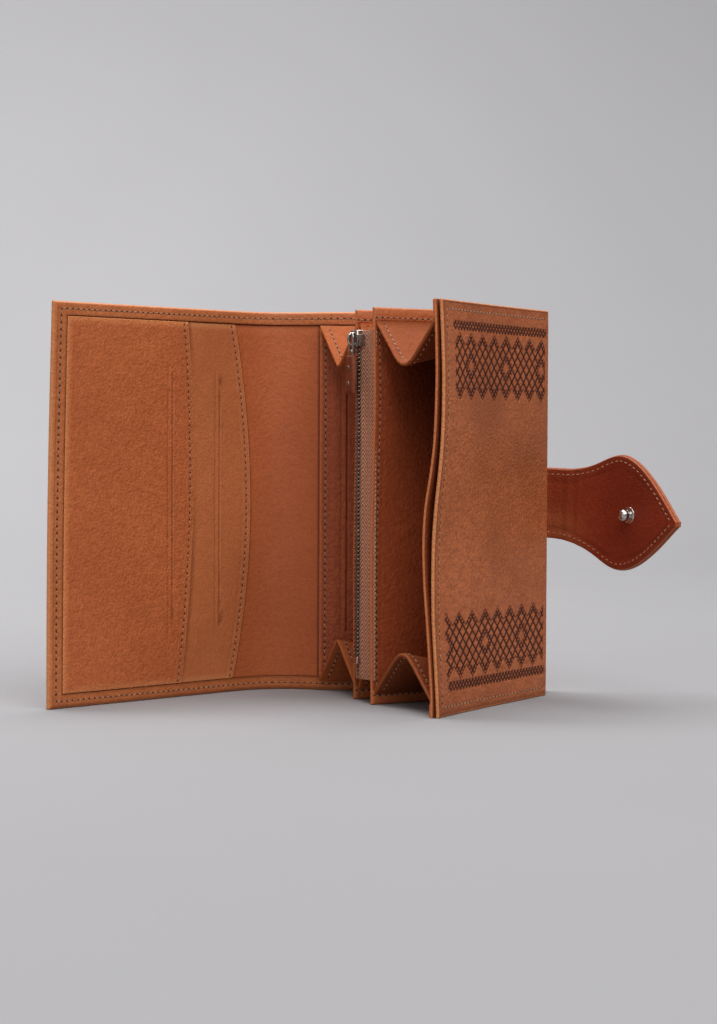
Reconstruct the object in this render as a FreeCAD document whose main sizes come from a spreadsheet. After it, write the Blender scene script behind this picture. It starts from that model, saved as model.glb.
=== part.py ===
"""Long flap wallet: open accordion of three compartments, zip coin pocket, card
pockets, double front panel and a wrap-round closure tab with a ball stud.

Frame: millimetres, +Z up.  The wallet stands on one short end with its long side
vertical.  The origin lies on the bottom edge of the back panel's outer leather.
X runs from the flap to the closure tab, Y away from the pocket mouths.
Plan positions below are measured from the mouth edge of the back card pocket and
moved by (origin_x, origin_y).
"""
import FreeCAD, Part
import Sketcher
import math
import os
from FreeCAD import Vector, Rotation, Placement

# ---------------------------------------------------------------- sizes (mm, deg)
SIZES = dict(
    tall=145.0, border=5.0, hinge_gap=1.4,
    outer_thick=1.4, lining_thick=0.8, pocket_thick=1.0, wall_thick=1.2,
    gusset_thick=0.9, gusset_clear=0.15,
    origin_x=40.0, origin_y=2.5,
    back_end=87.0, back_start=6.6, card_panel_wide=84.3, card_inset=5.3,
    base_thick=1.4, base_reach=13.0,
    spine_x=-8.0, spine_y=2.0, spine_angle=184.3, spine_wide=21.56, spine_close=85.7,
    flap_angle=225.3, flap_wide=92.3, flap_close=49.0,
    pocket_large_start=29.0, slit_wide=0.6, slit_low=24.0, slit_high=121.0,
    slit_large_at=38.4, slit_curved_at=15.4, slit_back_at=10.4,
    curve_end=8.8, curve_mid=3.2,
    deep_x=84.5, zip_left_y=-3.6, zip_right_y=-7.8, front_y=-12.4,
    zip_left_angle=199.4, zip_right_angle=210.8, front_angle=238.7,
    zip_wall_wide=74.5, zip_wall_tall=143.0, wall_start=1.3,
    front_wide=84.6, front_inner_wide=86.2,
    gusset_line=5.0, gusset_apex=20.5, zip_gusset_apex=18.0, gap_half=1.5,
    tape_wide=9.8, tape_start=0.6, tape_end=4.8, tape_thick=0.5, tape_low=6.0, tape_high=139.5,
    tooth_pitch=1.5, tooth_high=0.65, tooth_thick=1.6, tooth_count=82, chain_low=17.0,
    slider_z=133.0, slider_tall=6.0, slider_half_wide=4.0, slider_half_deep=1.9,
    pull_pivot=2.8, pull_bar_radius=0.45, strap_thick=2.2, strap_wide=9.0, strap_long=13.0,
    clamp_long=9.0,
    tab_x=88.7, tab_y=4.4, tab_z=72.5, tab_half_thick=1.2, neck_long=29.36,
    tab_tilt=7.2, tab_rest=46.0, wrap_rest=8.0, stud_at=11.5, stud_ball=2.3, stud_tall=4.6,
    anchor_start=62.0, anchor_end=87.2, anchor_half=13.5, anchor_thick=2.4,
    socket_at=85.2, socket_outer=4.8, socket_inner=2.6, socket_tall=1.9, socket_hole=2.7,
)
# half width of the closure tab along its length
NECK_HALF = ((1.6, 13.6), (6.0, 13.7), (10.0, 14.0), (14.0, 14.7), (18.0, 15.7), (22.0, 17.2),
             (25.0, 18.6), (27.76, 19.7))
END_HALF = ((1.6, 20.8), (5.0, 21.5), (7.3, 21.6), (9.6, 21.3), (12.5, 20.6), (15.4, 19.4), (18.3, 17.9),
            (21.2, 16.1), (24.1, 14.1), (27.0, 12.0), (30.0, 9.8), (32.7, 7.5), (35.6, 5.1),
            (38.5, 2.6), (39.8, 1.5), (40.4, 0.6))

S = SIZES
D2R = math.pi / 180.0


def heading(angle):
    return Vector(math.cos(angle * D2R), math.sin(angle * D2R), 0)


def plan(x, y, z=0.0):
    """Plan position (from the back card pocket's mouth edge) to row frame."""
    return Vector(x - S["origin_x"], y - S["origin_y"], z)


def wall_point(wall, along, side, z):
    x, y, angle = wall
    d = heading(angle)
    n = Vector(-d.y, d.x, 0)
    return plan(x, y, z) + d * along + n * side


BACK_WALL = (S["deep_x"], 0.0, 180.0)
ZIP_LEFT = (S["deep_x"], S["zip_left_y"], S["zip_left_angle"])
ZIP_RIGHT = (S["deep_x"], S["zip_right_y"], S["zip_right_angle"])
FRONT = (S["deep_x"], S["front_y"], S["front_angle"])
SPINE = (S["spine_x"], S["spine_y"], S["spine_angle"])
_b = heading(S["spine_angle"]) * S["spine_wide"]
FLAP = (S["spine_x"] + _b.x, S["spine_y"] + _b.y, S["flap_angle"])

# zip mouth, tapes and tooth line
ML = wall_point(ZIP_LEFT, S["zip_wall_wide"], 0, 0)
MR = wall_point(ZIP_RIGHT, S["zip_wall_wide"], 0, 0)
_half = (MR - ML).Length / 2.0
_w = (MR - ML).normalize()
CHAIN_OUT = Vector(_w.y, -_w.x, 0)            # away from the zip pocket
if CHAIN_OUT.x > 0:
    CHAIN_OUT = CHAIN_OUT * -1
TOOTH = (ML + MR) * 0.5 + CHAIN_OUT * math.sqrt(S["tape_wide"] ** 2 - _half ** 2)
CHAIN_ANGLE = math.degrees(math.atan2(CHAIN_OUT.y, CHAIN_OUT.x)) % 360
TAPE_L_ANGLE = math.degrees(math.atan2((TOOTH - ML).y, (TOOTH - ML).x)) % 360
TAPE_R_ANGLE = math.degrees(math.atan2((TOOTH - MR).y, (TOOTH - MR).x)) % 360
_hc = (S["zip_left_y"] - S["zip_right_y"]) / 2.0
TAPE_CLOSED = math.degrees(math.asin(_hc / S["tape_wide"]))   # lean of each tape when shut


def turn(v, axis, angle):
    return Rotation(axis, angle).multVec(v)


# closure tab: drawn level when shut, opened about a slightly tilted root axis
TAB_PIVOT = plan(S["tab_x"], S["tab_y"], S["tab_z"])
TAB_AXIS = Vector(-math.sin(S["tab_tilt"] * D2R), 0, -math.cos(S["tab_tilt"] * D2R))
NECK_X = turn(Vector(0, -1, 0), TAB_AXIS, -(90.0 - S["tab_rest"]))
NECK_Z = turn(Vector(0, 0, 1), TAB_AXIS, -(90.0 - S["tab_rest"]))
NECK_Y = NECK_Z.cross(NECK_X)                  # outer leather side
WRAP_PIVOT = TAB_PIVOT + NECK_X * S["neck_long"]
WRAP_AXIS = NECK_Z * -1
END_X = turn(NECK_X, WRAP_AXIS, S["wrap_rest"])
END_Z = NECK_Z
END_Y = END_Z.cross(END_X)


def clip(poly, a, b, c):
    """Keep the part of a convex polygon where a*x + b*y >= c."""
    out = []
    for i in range(len(poly)):
        p, r = poly[i], poly[(i + 1) % len(poly)]
        fp, fr = a * p[0] + b * p[1] - c, a * r[0] + b * r[1] - c
        if fp >= 0:
            out.append(p)
        if fp * fr < 0:
            k = fp / (fp - fr)
            out.append((p[0] + (r[0] - p[0]) * k, p[1] + (r[1] - p[1]) * k))
    return out


GUSSETS = {
    # name: wall A, its gusset line, its length, wall B, its line, its length, apex depth
    "gusset_back": (BACK_WALL, 1.5, 84.0, ZIP_LEFT, -2.1, 74.0, S["gusset_apex"], "back", "zip_left"),
    "gusset_zip": (ZIP_LEFT, 2.1, 73.4, ZIP_RIGHT, -2.1, 73.4, S["zip_gusset_apex"], "zip_left", "zip_right"),
    "gusset_front": (ZIP_RIGHT, 2.1, 74.0, FRONT, -2.5, 83.6, S["gusset_apex"], "zip_right", "front"),
}
LEAF_EDGE = 0.3
LEAF_START = 9.0
SEAM_PULL = 0.16
SEAM_STEP = 0.7


def gusset(name, top):
    """Frames, outlines and fold angles of one pair of gusset leaves."""
    A, ya, la, B, yb, lb, apex, body_a, body_b = GUSSETS[name]
    zl = S["tall"] - S["gusset_line"] if top else S["gusset_line"]
    zf = S["tall"] - apex if top else apex
    D = wall_point(A, 0, ya, zl)
    MA = wall_point(A, la, ya, zl)
    MB = wall_point(B, lb, yb, zl)
    F = (MA + MB) * 0.5
    F.z = zf
    ax = (MA - D).normalize()
    fd = F - D
    ay = (fd - ax * fd.dot(ax)).normalize()
    fold = Vector(fd).normalize()
    bd = MB - D
    by = (bd - fold * bd.dot(fold)).normalize()
    ad = MA - D
    back = (ad - fold * ad.dot(fold)).normalize()
    down = Vector(0, 0, -1 if top else 1)
    angle_a = math.degrees(math.atan2(ay.cross(down).dot(ax), ay.dot(down)))
    angle_b = math.degrees(math.atan2(by.cross(back).dot(fold), by.dot(back)))
    # outline a
    f2 = (fd.dot(ax), fd.dot(ay))
    big = [(0, 0), (200, 0), (200, 60), (0, 60)]
    lf = math.hypot(*f2)
    pa = clip(big, 0, 1, LEAF_EDGE)
    pa = clip(pa, f2[1] / lf, -f2[0] / lf, LEAF_EDGE)
    pa = clip(pa, 1, 0, LEAF_START)
    ex, ey = f2[0] - la, f2[1]
    n = math.hypot(ex, ey)
    pa = clip(pa, -ey / n, ex / n, -la * ey / n)
    # outline b
    m2 = (bd.dot(fold), bd.dot(by))
    slope = m2[1] / m2[0] * (1 - SEAM_PULL)
    n = math.hypot(slope, 1)
    pb = clip(big, 0, 1, LEAF_EDGE)
    pb = clip(pb, slope / n, -1 / n, LEAF_EDGE + SEAM_STEP)
    pb = clip(pb, 1, 0, LEAF_START)
    ex, ey = m2[0] - lf, m2[1]
    n = math.hypot(ex, ey)
    pb = clip(pb, -ey / n, ex / n, -lf * ey / n)
    az = ax.cross(ay)
    bz = fold.cross(by)
    na = wall_point(A, 0, 1, 0) - wall_point(A, 0, 0, 0)
    nb = wall_point(B, 0, 1, 0) - wall_point(B, 0, 0, 0)
    side_a = 1 if az.dot(na) < 0 else -1
    side_b = 1 if bz.dot(nb) > 0 else -1
    return dict(D=D, ax=ax, ay=ay, az=az, fold=fold, by=by, bz=bz, F=F, MA=MA, MB=MB,
                angle_a=angle_a, angle_b=angle_b, pa=pa, pb=pb, side_a=side_a, side_b=side_b,
                body_a=body_a, body_b=body_b)


# ---- document ----
doc = FreeCAD.newDocument("long_wallet")
sheet = doc.addObject("Spreadsheet::Sheet", "Sizes")
row = 1
for key, value in S.items():
    sheet.set("A%d" % row, key)
    sheet.set("B%d" % row, "%.6g" % value)
    sheet.setAlias("B%d" % row, key)
    row += 1


def add_size(key, value):
    global row
    sheet.set("A%d" % row, key)
    sheet.set("B%d" % row, "%.6f" % value)
    sheet.setAlias("B%d" % row, key)
    row += 1
    return Q(value, "Sizes." + key)


class Q:
    """A number that remembers the sheet expression it came from."""

    def __init__(self, v, e):
        self.v, self.e = float(v), e

    def __add__(self, o):
        o = q(o)
        return Q(self.v + o.v, "(%s + %s)" % (self.e, o.e))

    def __sub__(self, o):
        o = q(o)
        return Q(self.v - o.v, "(%s - %s)" % (self.e, o.e))

    def __rsub__(self, o):
        return q(o) - self

    __radd__ = __add__

    def __mul__(self, k):
        return Q(self.v * k, "(%s * %.6g)" % (self.e, k))

    def __neg__(self):
        return self * -1


def q(x):
    return x if isinstance(x, Q) else Q(x, "%.6f" % x)


def c(key):
    return Q(S[key], "Sizes." + key)


BODIES = []


def frame_of(origin, x, y, z):
    m = FreeCAD.Matrix(x.x, y.x, z.x, origin.x, x.y, y.y, z.y, origin.y, x.z, y.z, z.z, origin.z, 0, 0, 0, 1)
    return Placement(m)


def stand(x, y, angle):
    p = plan(x, y)
    return Placement(p, Rotation(Vector(0, 0, 1), angle))


def new_body(label, placement):
    b = doc.addObject("PartDesign::Body", label)
    b.Label = label
    b.Placement = placement
    BODIES.append(b)
    return b


def plane_of(b, role):
    return [f for f in b.Origin.OriginFeatures if f.Role == role][0]


def new_sketch(b, role, offset, name):
    sk = b.newObject("Sketcher::SketchObject", name)
    sk.AttachmentSupport = (plane_of(b, role), [""])
    sk.MapMode = "FlatFace"
    off = q(offset)
    sk.AttachmentOffset = Placement(Vector(0, 0, off.v), Rotation())
    if "Sizes." in off.e:
        sk.setExpression("AttachmentOffset.Base.z", off.e)
    return sk


def bind(sk, kind, geo, pos, value):
    value = q(value)
    i = sk.addConstraint(Sketcher.Constraint(kind, -1, 1, geo, pos, value.v))
    if "Sizes." in value.e:
        sk.setExpression("Constraints[%d]" % i, value.e)


def ring(sk, pts):
    """Closed outline; each corner is placed by its two distances."""
    pts = [(q(a), q(b)) for a, b in pts]
    n = len(pts)
    base = len(sk.Geometry)
    for i in range(n):
        a, b = pts[i], pts[(i + 1) % n]
        sk.addGeometry(Part.LineSegment(Vector(a[0].v, a[1].v, 0), Vector(b[0].v, b[1].v, 0)), False)
    for i in range(n):
        sk.addConstraint(Sketcher.Constraint("Coincident", base + i, 2, base + (i + 1) % n, 1))
    for i in range(n):
        bind(sk, "DistanceX", base + i, 1, pts[i][0])
        bind(sk, "DistanceY", base + i, 1, pts[i][1])


def rect(x0, x1, z0, z1):
    return [(x0, z0), (x1, z0), (x1, z1), (x0, z1)]


def disc(sk, x, z, r):
    x, z, r = q(x), q(z), q(r)
    g = sk.addGeometry(Part.Circle(Vector(x.v, z.v, 0), Vector(0, 0, 1), r.v), False)
    bind(sk, "DistanceX", g, 3, x)
    bind(sk, "DistanceY", g, 3, z)
    i = sk.addConstraint(Sketcher.Constraint("Radius", g, r.v))
    if "Sizes." in r.e:
        sk.setExpression("Constraints[%d]" % i, r.e)


def pad(b, outlines, lo, hi, discs=(), role="XZ_Plane", name="Outline"):
    """Sheet of leather in the local frame, from lo to hi across its thickness."""
    lo, hi = q(lo), q(hi)
    offset = -hi if role == "XZ_Plane" else lo
    sk = new_sketch(b, role, offset, name)
    for o in outlines:
        ring(sk, o)
    for d in discs:
        disc(sk, *d)
    p = b.newObject("PartDesign::Pad", name + "Pad")
    p.Profile = sk
    thick = hi - lo
    p.Length = thick.v
    if "Sizes." in thick.e:
        p.setExpression("Length", thick.e)
    p.Refine = False
    b.Tip = p
    return p


def bore(b, d, lo, hi, name="Bore"):
    """Round hole through a sheet, from lo to hi across its thickness."""
    lo, hi = q(lo), q(hi)
    sk = new_sketch(b, "XZ_Plane", -hi, name)
    disc(sk, *d)
    p = b.newObject("PartDesign::Pocket", name + "Pocket")
    p.Profile = sk
    thick = hi - lo
    p.Length = thick.v
    if "Sizes." in thick.e:
        p.setExpression("Length", thick.e)
    p.Reversed = True
    p.Refine = False
    b.Tip = p
    return p


# ------------------------------------------------------------------ back panel (root)
T = c("tall")
E = c("border")
x0 = -c("back_start")
x1 = c("back_end")
b = new_body("back_outer", stand(0, 0, 0))
pad(b, [rect(x0, x1, 0, T)], 1.8, q(1.8) + c("outer_thick"), name="Panel")
pad(b, [rect(x0, q(85.5), 0, E)], q(1.8) - c("lining_thick"), 1.8, name="TurnLow")
pad(b, [rect(x0, q(85.5), T - E, T)], q(1.8) - c("lining_thick"), 1.8, name="TurnHigh")
b = new_body("back_lining", stand(0, 0, 0))
pad(b, [rect(x0, q(85.5), E, T - E)], q(1.8) - c("lining_thick"), 1.8)
b = new_body("back_card_pocket", stand(0, 0, 0))
ci = c("card_inset")
sl, sh, sw = c("slit_low"), c("slit_high"), c("slit_wide")
pad(b, [rect(q(0), c("card_panel_wide"), ci, T - ci),
        rect(c("slit_back_at") - sw * 0.5, c("slit_back_at") + sw * 0.5, sl, sh)], 0.0, c("pocket_thick"))
b = new_body("base_strip", stand(0, 0, 0))
pad(b, [rect(x1 - c("base_thick"), x1, 0, T)], -c("base_reach"), 1.8)
b = new_body("tab_anchor", stand(0, 0, 0))
tz, ah = c("tab_z"), c("anchor_half")
pad(b, [[(c("anchor_start") + 3, tz - ah), (c("anchor_end"), tz - ah), (c("anchor_end"), tz + ah),
         (c("anchor_start") + 3, tz + ah), (c("anchor_start"), tz + ah - 3), (c("anchor_start"), tz - ah + 3)]],
    q(1.8) + c("outer_thick"), q(1.8) + c("outer_thick") + c("anchor_thick"))

# ------------------------------------------------------------------ spine
g = c("hinge_gap")
sp = stand(*SPINE)
sx1 = c("spine_wide") - g
lo = q(0.2) - c("outer_thick")
b = new_body("spine_outer", sp)
pad(b, [rect(g, sx1, 0, T)], lo, 0.2, name="Panel")
pad(b, [rect(g, sx1, 0, E)], 0.2, q(0.2) + c("lining_thick"), name="TurnLow")
pad(b, [rect(g, sx1, T - E, T)], 0.2, q(0.2) + c("lining_thick"), name="TurnHigh")
b = new_body("spine_lining", sp)
pad(b, [rect(g, sx1, E, T - E)], 0.2, q(0.2) + c("lining_thick"))

# ------------------------------------------------------------------ flap
fp = stand(*FLAP)
fw = c("flap_wide")
hole = (c("socket_at"), tz, c("socket_hole"))
b = new_body("flap_outer", fp)
pad(b, [rect(g, fw, 0, T)], lo, 0.2, name="Panel")
f_in = fw - E
pad(b, [[(g, q(0)), (fw, q(0)), (fw, T), (g, T), (g, T - E), (f_in, T - E), (f_in, E), (g, E)]],
    0.2, q(0.2) + c("lining_thick"), name="Turned")
bore(b, hole, lo - 0.1, q(0.3) + c("lining_thick"))
b = new_body("flap_lining", fp)
pad(b, [rect(g, f_in, E, T - E)], 0.2, q(0.2) + c("lining_thick"))
bore(b, hole, q(0.1), q(0.3) + c("lining_thick"))
b = new_body("flap_pocket_curved", fp)
y1 = q(0.2) + c("lining_thick")
n = 16
cm, ce = c("curve_mid"), c("curve_end")
edge = []
for i in range(n + 1):
    k = i / n
    w = math.sin(math.pi * k)
    edge.append((ce - (ce - cm) * w, E + 0.3 + (T - E * 2 - 0.6) * k))
outline = [(f_in - 0.3, T - E - 0.3), (f_in - 0.3, E + 0.3)] + edge
pad(b, [outline, rect(c("slit_curved_at") - sw * 0.5, c("slit_curved_at") + sw * 0.5, sl, sh)],
    y1, y1 + c("pocket_thick"))
b = new_body("flap_pocket_large", fp)
y2 = y1 + c("pocket_thick")
pl = c("pocket_large_start")
edge = []
for i in range(9):
    k = i / 8
    edge.append((pl - math.sin(math.pi * k) * 1.6, E + 0.3 + (T - E * 2 - 0.6) * k))
pad(b, [[(f_in - 0.3, T - E - 0.3), (f_in - 0.3, E + 0.3)] + edge,
        rect(c("slit_large_at") - sw * 0.5, c("slit_large_at") + sw * 0.5, sl, sh)],
    y2, y2 + c("pocket_thick"))
# snap socket: eyelet ring outside, flared rivet washer between leather and lining hole
b = new_body("snap_socket", fp)
pad(b, [], lo - c("socket_tall"), lo, discs=[(c("socket_at"), tz, c("socket_outer")), (c("socket_at"), tz, c("socket_inner"))])
b = new_body("socket_rivet", fp)
pad(b, [], lo, q(0.2) + c("lining_thick"),
    discs=[(c("socket_at"), tz, c("socket_hole")), (c("socket_at"), tz, c("socket_inner") - 0.15)], name="Tube")

# ------------------------------------------------------------------ zip pocket walls
ws, zw, zt = c("wall_start"), c("zip_wall_wide"), c("zip_wall_tall")
wt = c("wall_thick")
b = new_body("zip_wall_left", stand(*ZIP_LEFT))
pad(b, [rect(ws, zw - 0.2, 0, zt)], wt * -0.5, wt * 0.5)
b = new_body("zip_wall_right", stand(*ZIP_RIGHT))
pad(b, [rect(ws, zw - 0.2, 0, zt)], wt * -0.5, wt * 0.5)

# ------------------------------------------------------------------ double front panel
fr = stand(*FRONT)
b = new_body("front_inner", fr)
pad(b, [rect(ws, c("front_inner_wide"), 0, T)], -c("pocket_thick"), 0)
b = new_body("front_outer", fr)
pad(b, [rect(ws, c("front_wide"), 0, T)], 0, c("outer_thick"))

# ------------------------------------------------------------------ gusset leaves
LEAVES = []
gt, gc = c("gusset_thick"), c("gusset_clear")
for name in GUSSETS:
    cells = None
    for end in ("top", "bottom"):
        r = gusset(name, end == "top")
        if cells is None:
            cells = {}
            for leaf in "ab":
                cells[leaf] = []
                for i, (px, py) in enumerate(r["p" + leaf]):
                    stem = "%s_%s_corner%s" % (name, leaf, "pqrstuvw"[i])
                    cells[leaf].append((add_size(stem + "_along", px), add_size(stem + "_across", py)))
            doc.recompute()
        for leaf, ox, oy, oz in (("a", r["ax"], r["ay"], r["az"]), ("b", r["fold"], r["by"], r["bz"])):
            side = r["side_" + leaf]
            b = new_body("%s_%s_%s" % (name, end, leaf), frame_of(r["D"], ox, oy, oz))
            if side > 0:
                pad(b, [cells[leaf]], gc, gc + gt, role="XY_Plane")
            else:
                pad(b, [cells[leaf]], -(gc + gt), -gc, role="XY_Plane")

# ------------------------------------------------------------------ zip tapes and teeth
for label, at, angle in (("zip_tape_left", ML, TAPE_L_ANGLE), ("zip_tape_right", MR, TAPE_R_ANGLE)):
    b = new_body(label, Placement(at, Rotation(Vector(0, 0, 1), angle)))
    pad(b, [rect(c("tape_start"), c("tape_end"), c("tape_low"), c("tape_high"))],
        c("tape_thick") * -0.5, c("tape_thick") * 0.5)
chain = Placement(TOOTH, Rotation(Vector(0, 0, 1), CHAIN_ANGLE))
tt, th, tp, cl = c("tooth_thick"), c("tooth_high"), c("tooth_pitch"), c("chain_low")
for label, sgn in (("zip_teeth_left", -1), ("zip_teeth_right", 1)):
    b = new_body(label, chain)
    start = cl + (0.0 if sgn < 0 else S["tooth_pitch"] / 2)
    length = S["tooth_pitch"] * (S["tooth_count"] - 1) + S["tooth_high"]
    # cord that carries the teeth: local Y across the chain
    pad(b, [rect(tt * -0.3, tt * 0.3, q(min(sgn * 3.0, sgn * 1.9)), q(max(sgn * 3.0, sgn * 1.9)))],
        start, start + length, role="XY_Plane", name="Cord")
    one = pad(b, [rect(tt * -0.5, tt * 0.5, q(min(sgn * 2.2, sgn * -0.6)), q(max(sgn * 2.2, sgn * -0.6)))],
              start, start + th, role="XY_Plane", name="Tooth")
    doc.recompute()
    pat = b.newObject("PartDesign::LinearPattern", "Teeth")
    pat.Originals = [one]
    pat.Direction = ([f for f in b.Origin.OriginFeatures if f.Role == "Z_Axis"][0], [""])
    pat.Length = S["tooth_pitch"] * (S["tooth_count"] - 1)
    pat.setExpression("Length", "Sizes.tooth_pitch * (Sizes.tooth_count - 1)")
    pat.Occurrences = int(S["tooth_count"])
    pat.Refine = False
    b.Tip = pat
b = new_body("zip_bottom_stop", chain)
pad(b, [rect(tt * -0.6, tt * 0.6, q(-2.4), q(2.4))], cl - 2.6, cl - 0.2, role="XY_Plane")
b = new_body("zip_top_stop", chain)
top = S["chain_low"] + S["tooth_pitch"] * S["tooth_count"] + 0.3
pad(b, [rect(tt * -0.6, tt * 0.6, q(-2.4), q(2.4))], q(top), q(top + 1.6), role="XY_Plane")

# ------------------------------------------------------------------ slider and pull
hw, hd = c("slider_half_wide"), c("slider_half_deep")
sz, st = c("slider_z"), c("slider_tall")
b = new_body("slider_body", chain)
pad(b, [[(-hd, -hw), (hd, -hw), (hd, hw), (-hd, hw)],
        [(q(-1.1), -(hw - 0.55)), (q(1.1), -(hw - 0.55)), (q(1.1), hw - 0.55), (q(-1.1), hw - 0.55)]],
    sz - st * 0.5, sz + st * 0.5, role="XY_Plane")
b = new_body("slider_bridge", chain)
pad(b, [[(hd, sz - 2.5), (hd + 2.5, sz - 2.0), (hd + 2.5, sz + 2.0), (hd, sz + 2.5),
         (hd, sz + 1.7), (hd + 1.8, sz + 1.3), (hd + 1.8, sz - 1.3), (hd, sz - 1.7)]], -0.7, 0.7)
pp, pr = c("pull_pivot"), c("pull_bar_radius")
b = new_body("pull_clamp", chain)
pad(b, [], -2.3, 2.3, discs=[(pp, sz, pr)], name="Bar")
pad(b, [rect(pp - pr, pp + pr, sz - 5.0, sz)], -2.3, -1.2, name="ArmLeft")
pad(b, [rect(pp - pr, pp + pr, sz - 5.0, sz)], 1.2, 2.3, name="ArmRight")
pad(b, [rect(pp - pr, pp + pr, sz - c("clamp_long") + 0.1, sz - 4.2)], -2.3, 2.3, name="Plate")
b = new_body("pull_strap", chain)
sy = c("strap_wide") * 0.5
zt0 = sz - 6.4
pad(b, [[(-sy + 1.5, zt0 - c("strap_long") - 0.0), (sy - 1.5, zt0 - c("strap_long") - 0.0),
         (sy, zt0 - c("strap_long") + 1.5), (sy, zt0 - 1.5), (sy - 2.0, zt0), (-sy + 2.0, zt0),
         (-sy, zt0 - 1.5), (-sy, zt0 - c("strap_long") + 1.5)]],
    pp - c("strap_thick") * 0.5, pp + c("strap_thick") * 0.5,
    discs=[(q(0), zt0 - 9.5, q(0.9))], role="YZ_Plane")
# slot that takes the clamp plate
cut = new_sketch(b, "YZ_Plane", pp - pr - 0.02, "Slot")
ring(cut, rect(q(-2.35), q(2.35), sz - c("clamp_long") - 0.0, zt0 + 0.5))
po = b.newObject("PartDesign::Pocket", "SlotPocket")
po.Profile = cut
po.Length = 2 * S["pull_bar_radius"] + 0.04
po.setExpression("Length", "2 * Sizes.pull_bar_radius + 0.04")
po.Reversed = True
po.Refine = False
b.Tip = po
b = new_body("pull_rivet", chain)
pad(b, [], pp - c("strap_thick") * 0.5 - 0.3, pp + c("strap_thick") * 0.5 + 0.3,
    discs=[(q(0), zt0 - 9.5, q(0.9))], role="YZ_Plane")

# ------------------------------------------------------------------ closure tab
nh = [(u, w) for u, w in NECK_HALF]
eh = [(u, w) for u, w in END_HALF]
neck = frame_of(TAB_PIVOT, NECK_X, NECK_Y, NECK_Z)
tend = frame_of(WRAP_PIVOT, END_X, END_Y, END_Z)
ht = c("tab_half_thick")
for label, where, half, y_lo, y_hi in (
        ("tab_neck_outer", neck, nh, q(-0.2), ht), ("tab_neck_lining", neck, nh, -ht, q(-0.2)),
        ("tab_end_outer", tend, eh, q(-0.2), ht), ("tab_end_lining", tend, eh, -ht, q(-0.2))):
    b = new_body(label, where)
    pts = [(q(u), q(-w)) for u, w in half] + [(q(u), q(w)) for u, w in reversed(half)]
    pad(b, [pts], y_lo, y_hi)
# ball stud on the lining side: base disc, neck and ball on one axis
out = Rotation(Vector(1, 0, 0), 90)
stud_base = doc.addObject("Part::Cylinder", "StudBase")
stud_base.setExpression("Radius", "Sizes.socket_outer - 1.6")
stud_base.Height = 0.6
stud_base.Placement = Placement(Vector(S["stud_at"], -S["tab_half_thick"], 0), out)
stud_neck = doc.addObject("Part::Cylinder", "StudNeck")
stud_neck.Radius = 1.35
stud_neck.setExpression("Height", "Sizes.stud_tall - Sizes.stud_ball")
stud_neck.Placement = Placement(Vector(S["stud_at"], -S["tab_half_thick"], 0), out)
stud_ball = doc.addObject("Part::Sphere", "StudBall")
stud_ball.setExpression("Radius", "Sizes.stud_ball")
stud_ball.Placement = Placement(Vector(S["stud_at"], -S["tab_half_thick"] - S["stud_tall"] + S["stud_ball"], 0), out)
doc.recompute()
stud = doc.addObject("Part::MultiFuse", "stud")
stud.Label = "stud"
stud.Shapes = [stud_base, stud_neck, stud_ball]
stud.Placement = tend
BODIES.append(stud)
b = new_body("stud_cap", tend)
pad(b, [], ht, ht + 0.8, discs=[(c("stud_at"), q(0), q(4.2))])

doc.recompute()

os.makedirs("parts", exist_ok=True)
bad = []
for o in doc.Objects:
    if "Invalid" in o.State or "Error" in o.State:
        bad.append(o.Label + " " + str(o.State))
for b in BODIES:
    s = b.Shape
    if s.isNull() or not s.isValid() or len(s.Solids) != 1:
        bad.append("%s null=%s solids=%d" % (b.Label, s.isNull(), 0 if s.isNull() else len(s.Solids)))
if bad:
    raise RuntimeError("; ".join(bad))
for b in BODIES:
    b.Shape.exportStep("parts/%s.step" % b.Label)
print(len(BODIES), "parts written")
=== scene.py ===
"""Looks of the long flap wallet: leather, thread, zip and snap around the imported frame."""
import bpy
import bmesh
import math
import numpy as np
from mathutils import Matrix, Vector


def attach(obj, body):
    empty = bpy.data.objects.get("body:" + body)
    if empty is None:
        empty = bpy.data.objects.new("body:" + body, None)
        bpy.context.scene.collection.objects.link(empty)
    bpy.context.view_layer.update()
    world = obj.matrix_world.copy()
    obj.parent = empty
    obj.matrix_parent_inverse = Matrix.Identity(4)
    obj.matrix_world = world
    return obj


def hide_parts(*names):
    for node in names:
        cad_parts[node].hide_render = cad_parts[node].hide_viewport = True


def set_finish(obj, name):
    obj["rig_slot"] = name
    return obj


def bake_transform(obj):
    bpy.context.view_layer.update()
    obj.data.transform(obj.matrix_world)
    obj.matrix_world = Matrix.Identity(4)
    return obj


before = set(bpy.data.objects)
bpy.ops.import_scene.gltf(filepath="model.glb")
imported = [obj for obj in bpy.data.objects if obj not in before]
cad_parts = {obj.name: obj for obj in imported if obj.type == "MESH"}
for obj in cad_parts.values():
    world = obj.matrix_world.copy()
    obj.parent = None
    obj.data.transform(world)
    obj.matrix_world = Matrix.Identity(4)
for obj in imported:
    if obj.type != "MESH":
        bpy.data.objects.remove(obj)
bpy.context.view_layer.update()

R = math.radians
OX, OY = 40.0, 2.5
TALL = 145.0


def plan(x, y, z=0.0):
    return np.array([x - OX, y - OY, z], float)


def hd(a):
    return np.array([math.cos(R(a)), math.sin(R(a)), 0.0])


def nrm(a):
    return np.array([-math.sin(R(a)), math.cos(R(a)), 0.0])


def unit(v):
    v = np.asarray(v, float)
    return v / max(np.linalg.norm(v), 1e-12)


def rot(v, axis, ang):
    return np.array(Matrix.Rotation(R(ang), 3, Vector(axis)) @ Vector(v))


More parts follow.
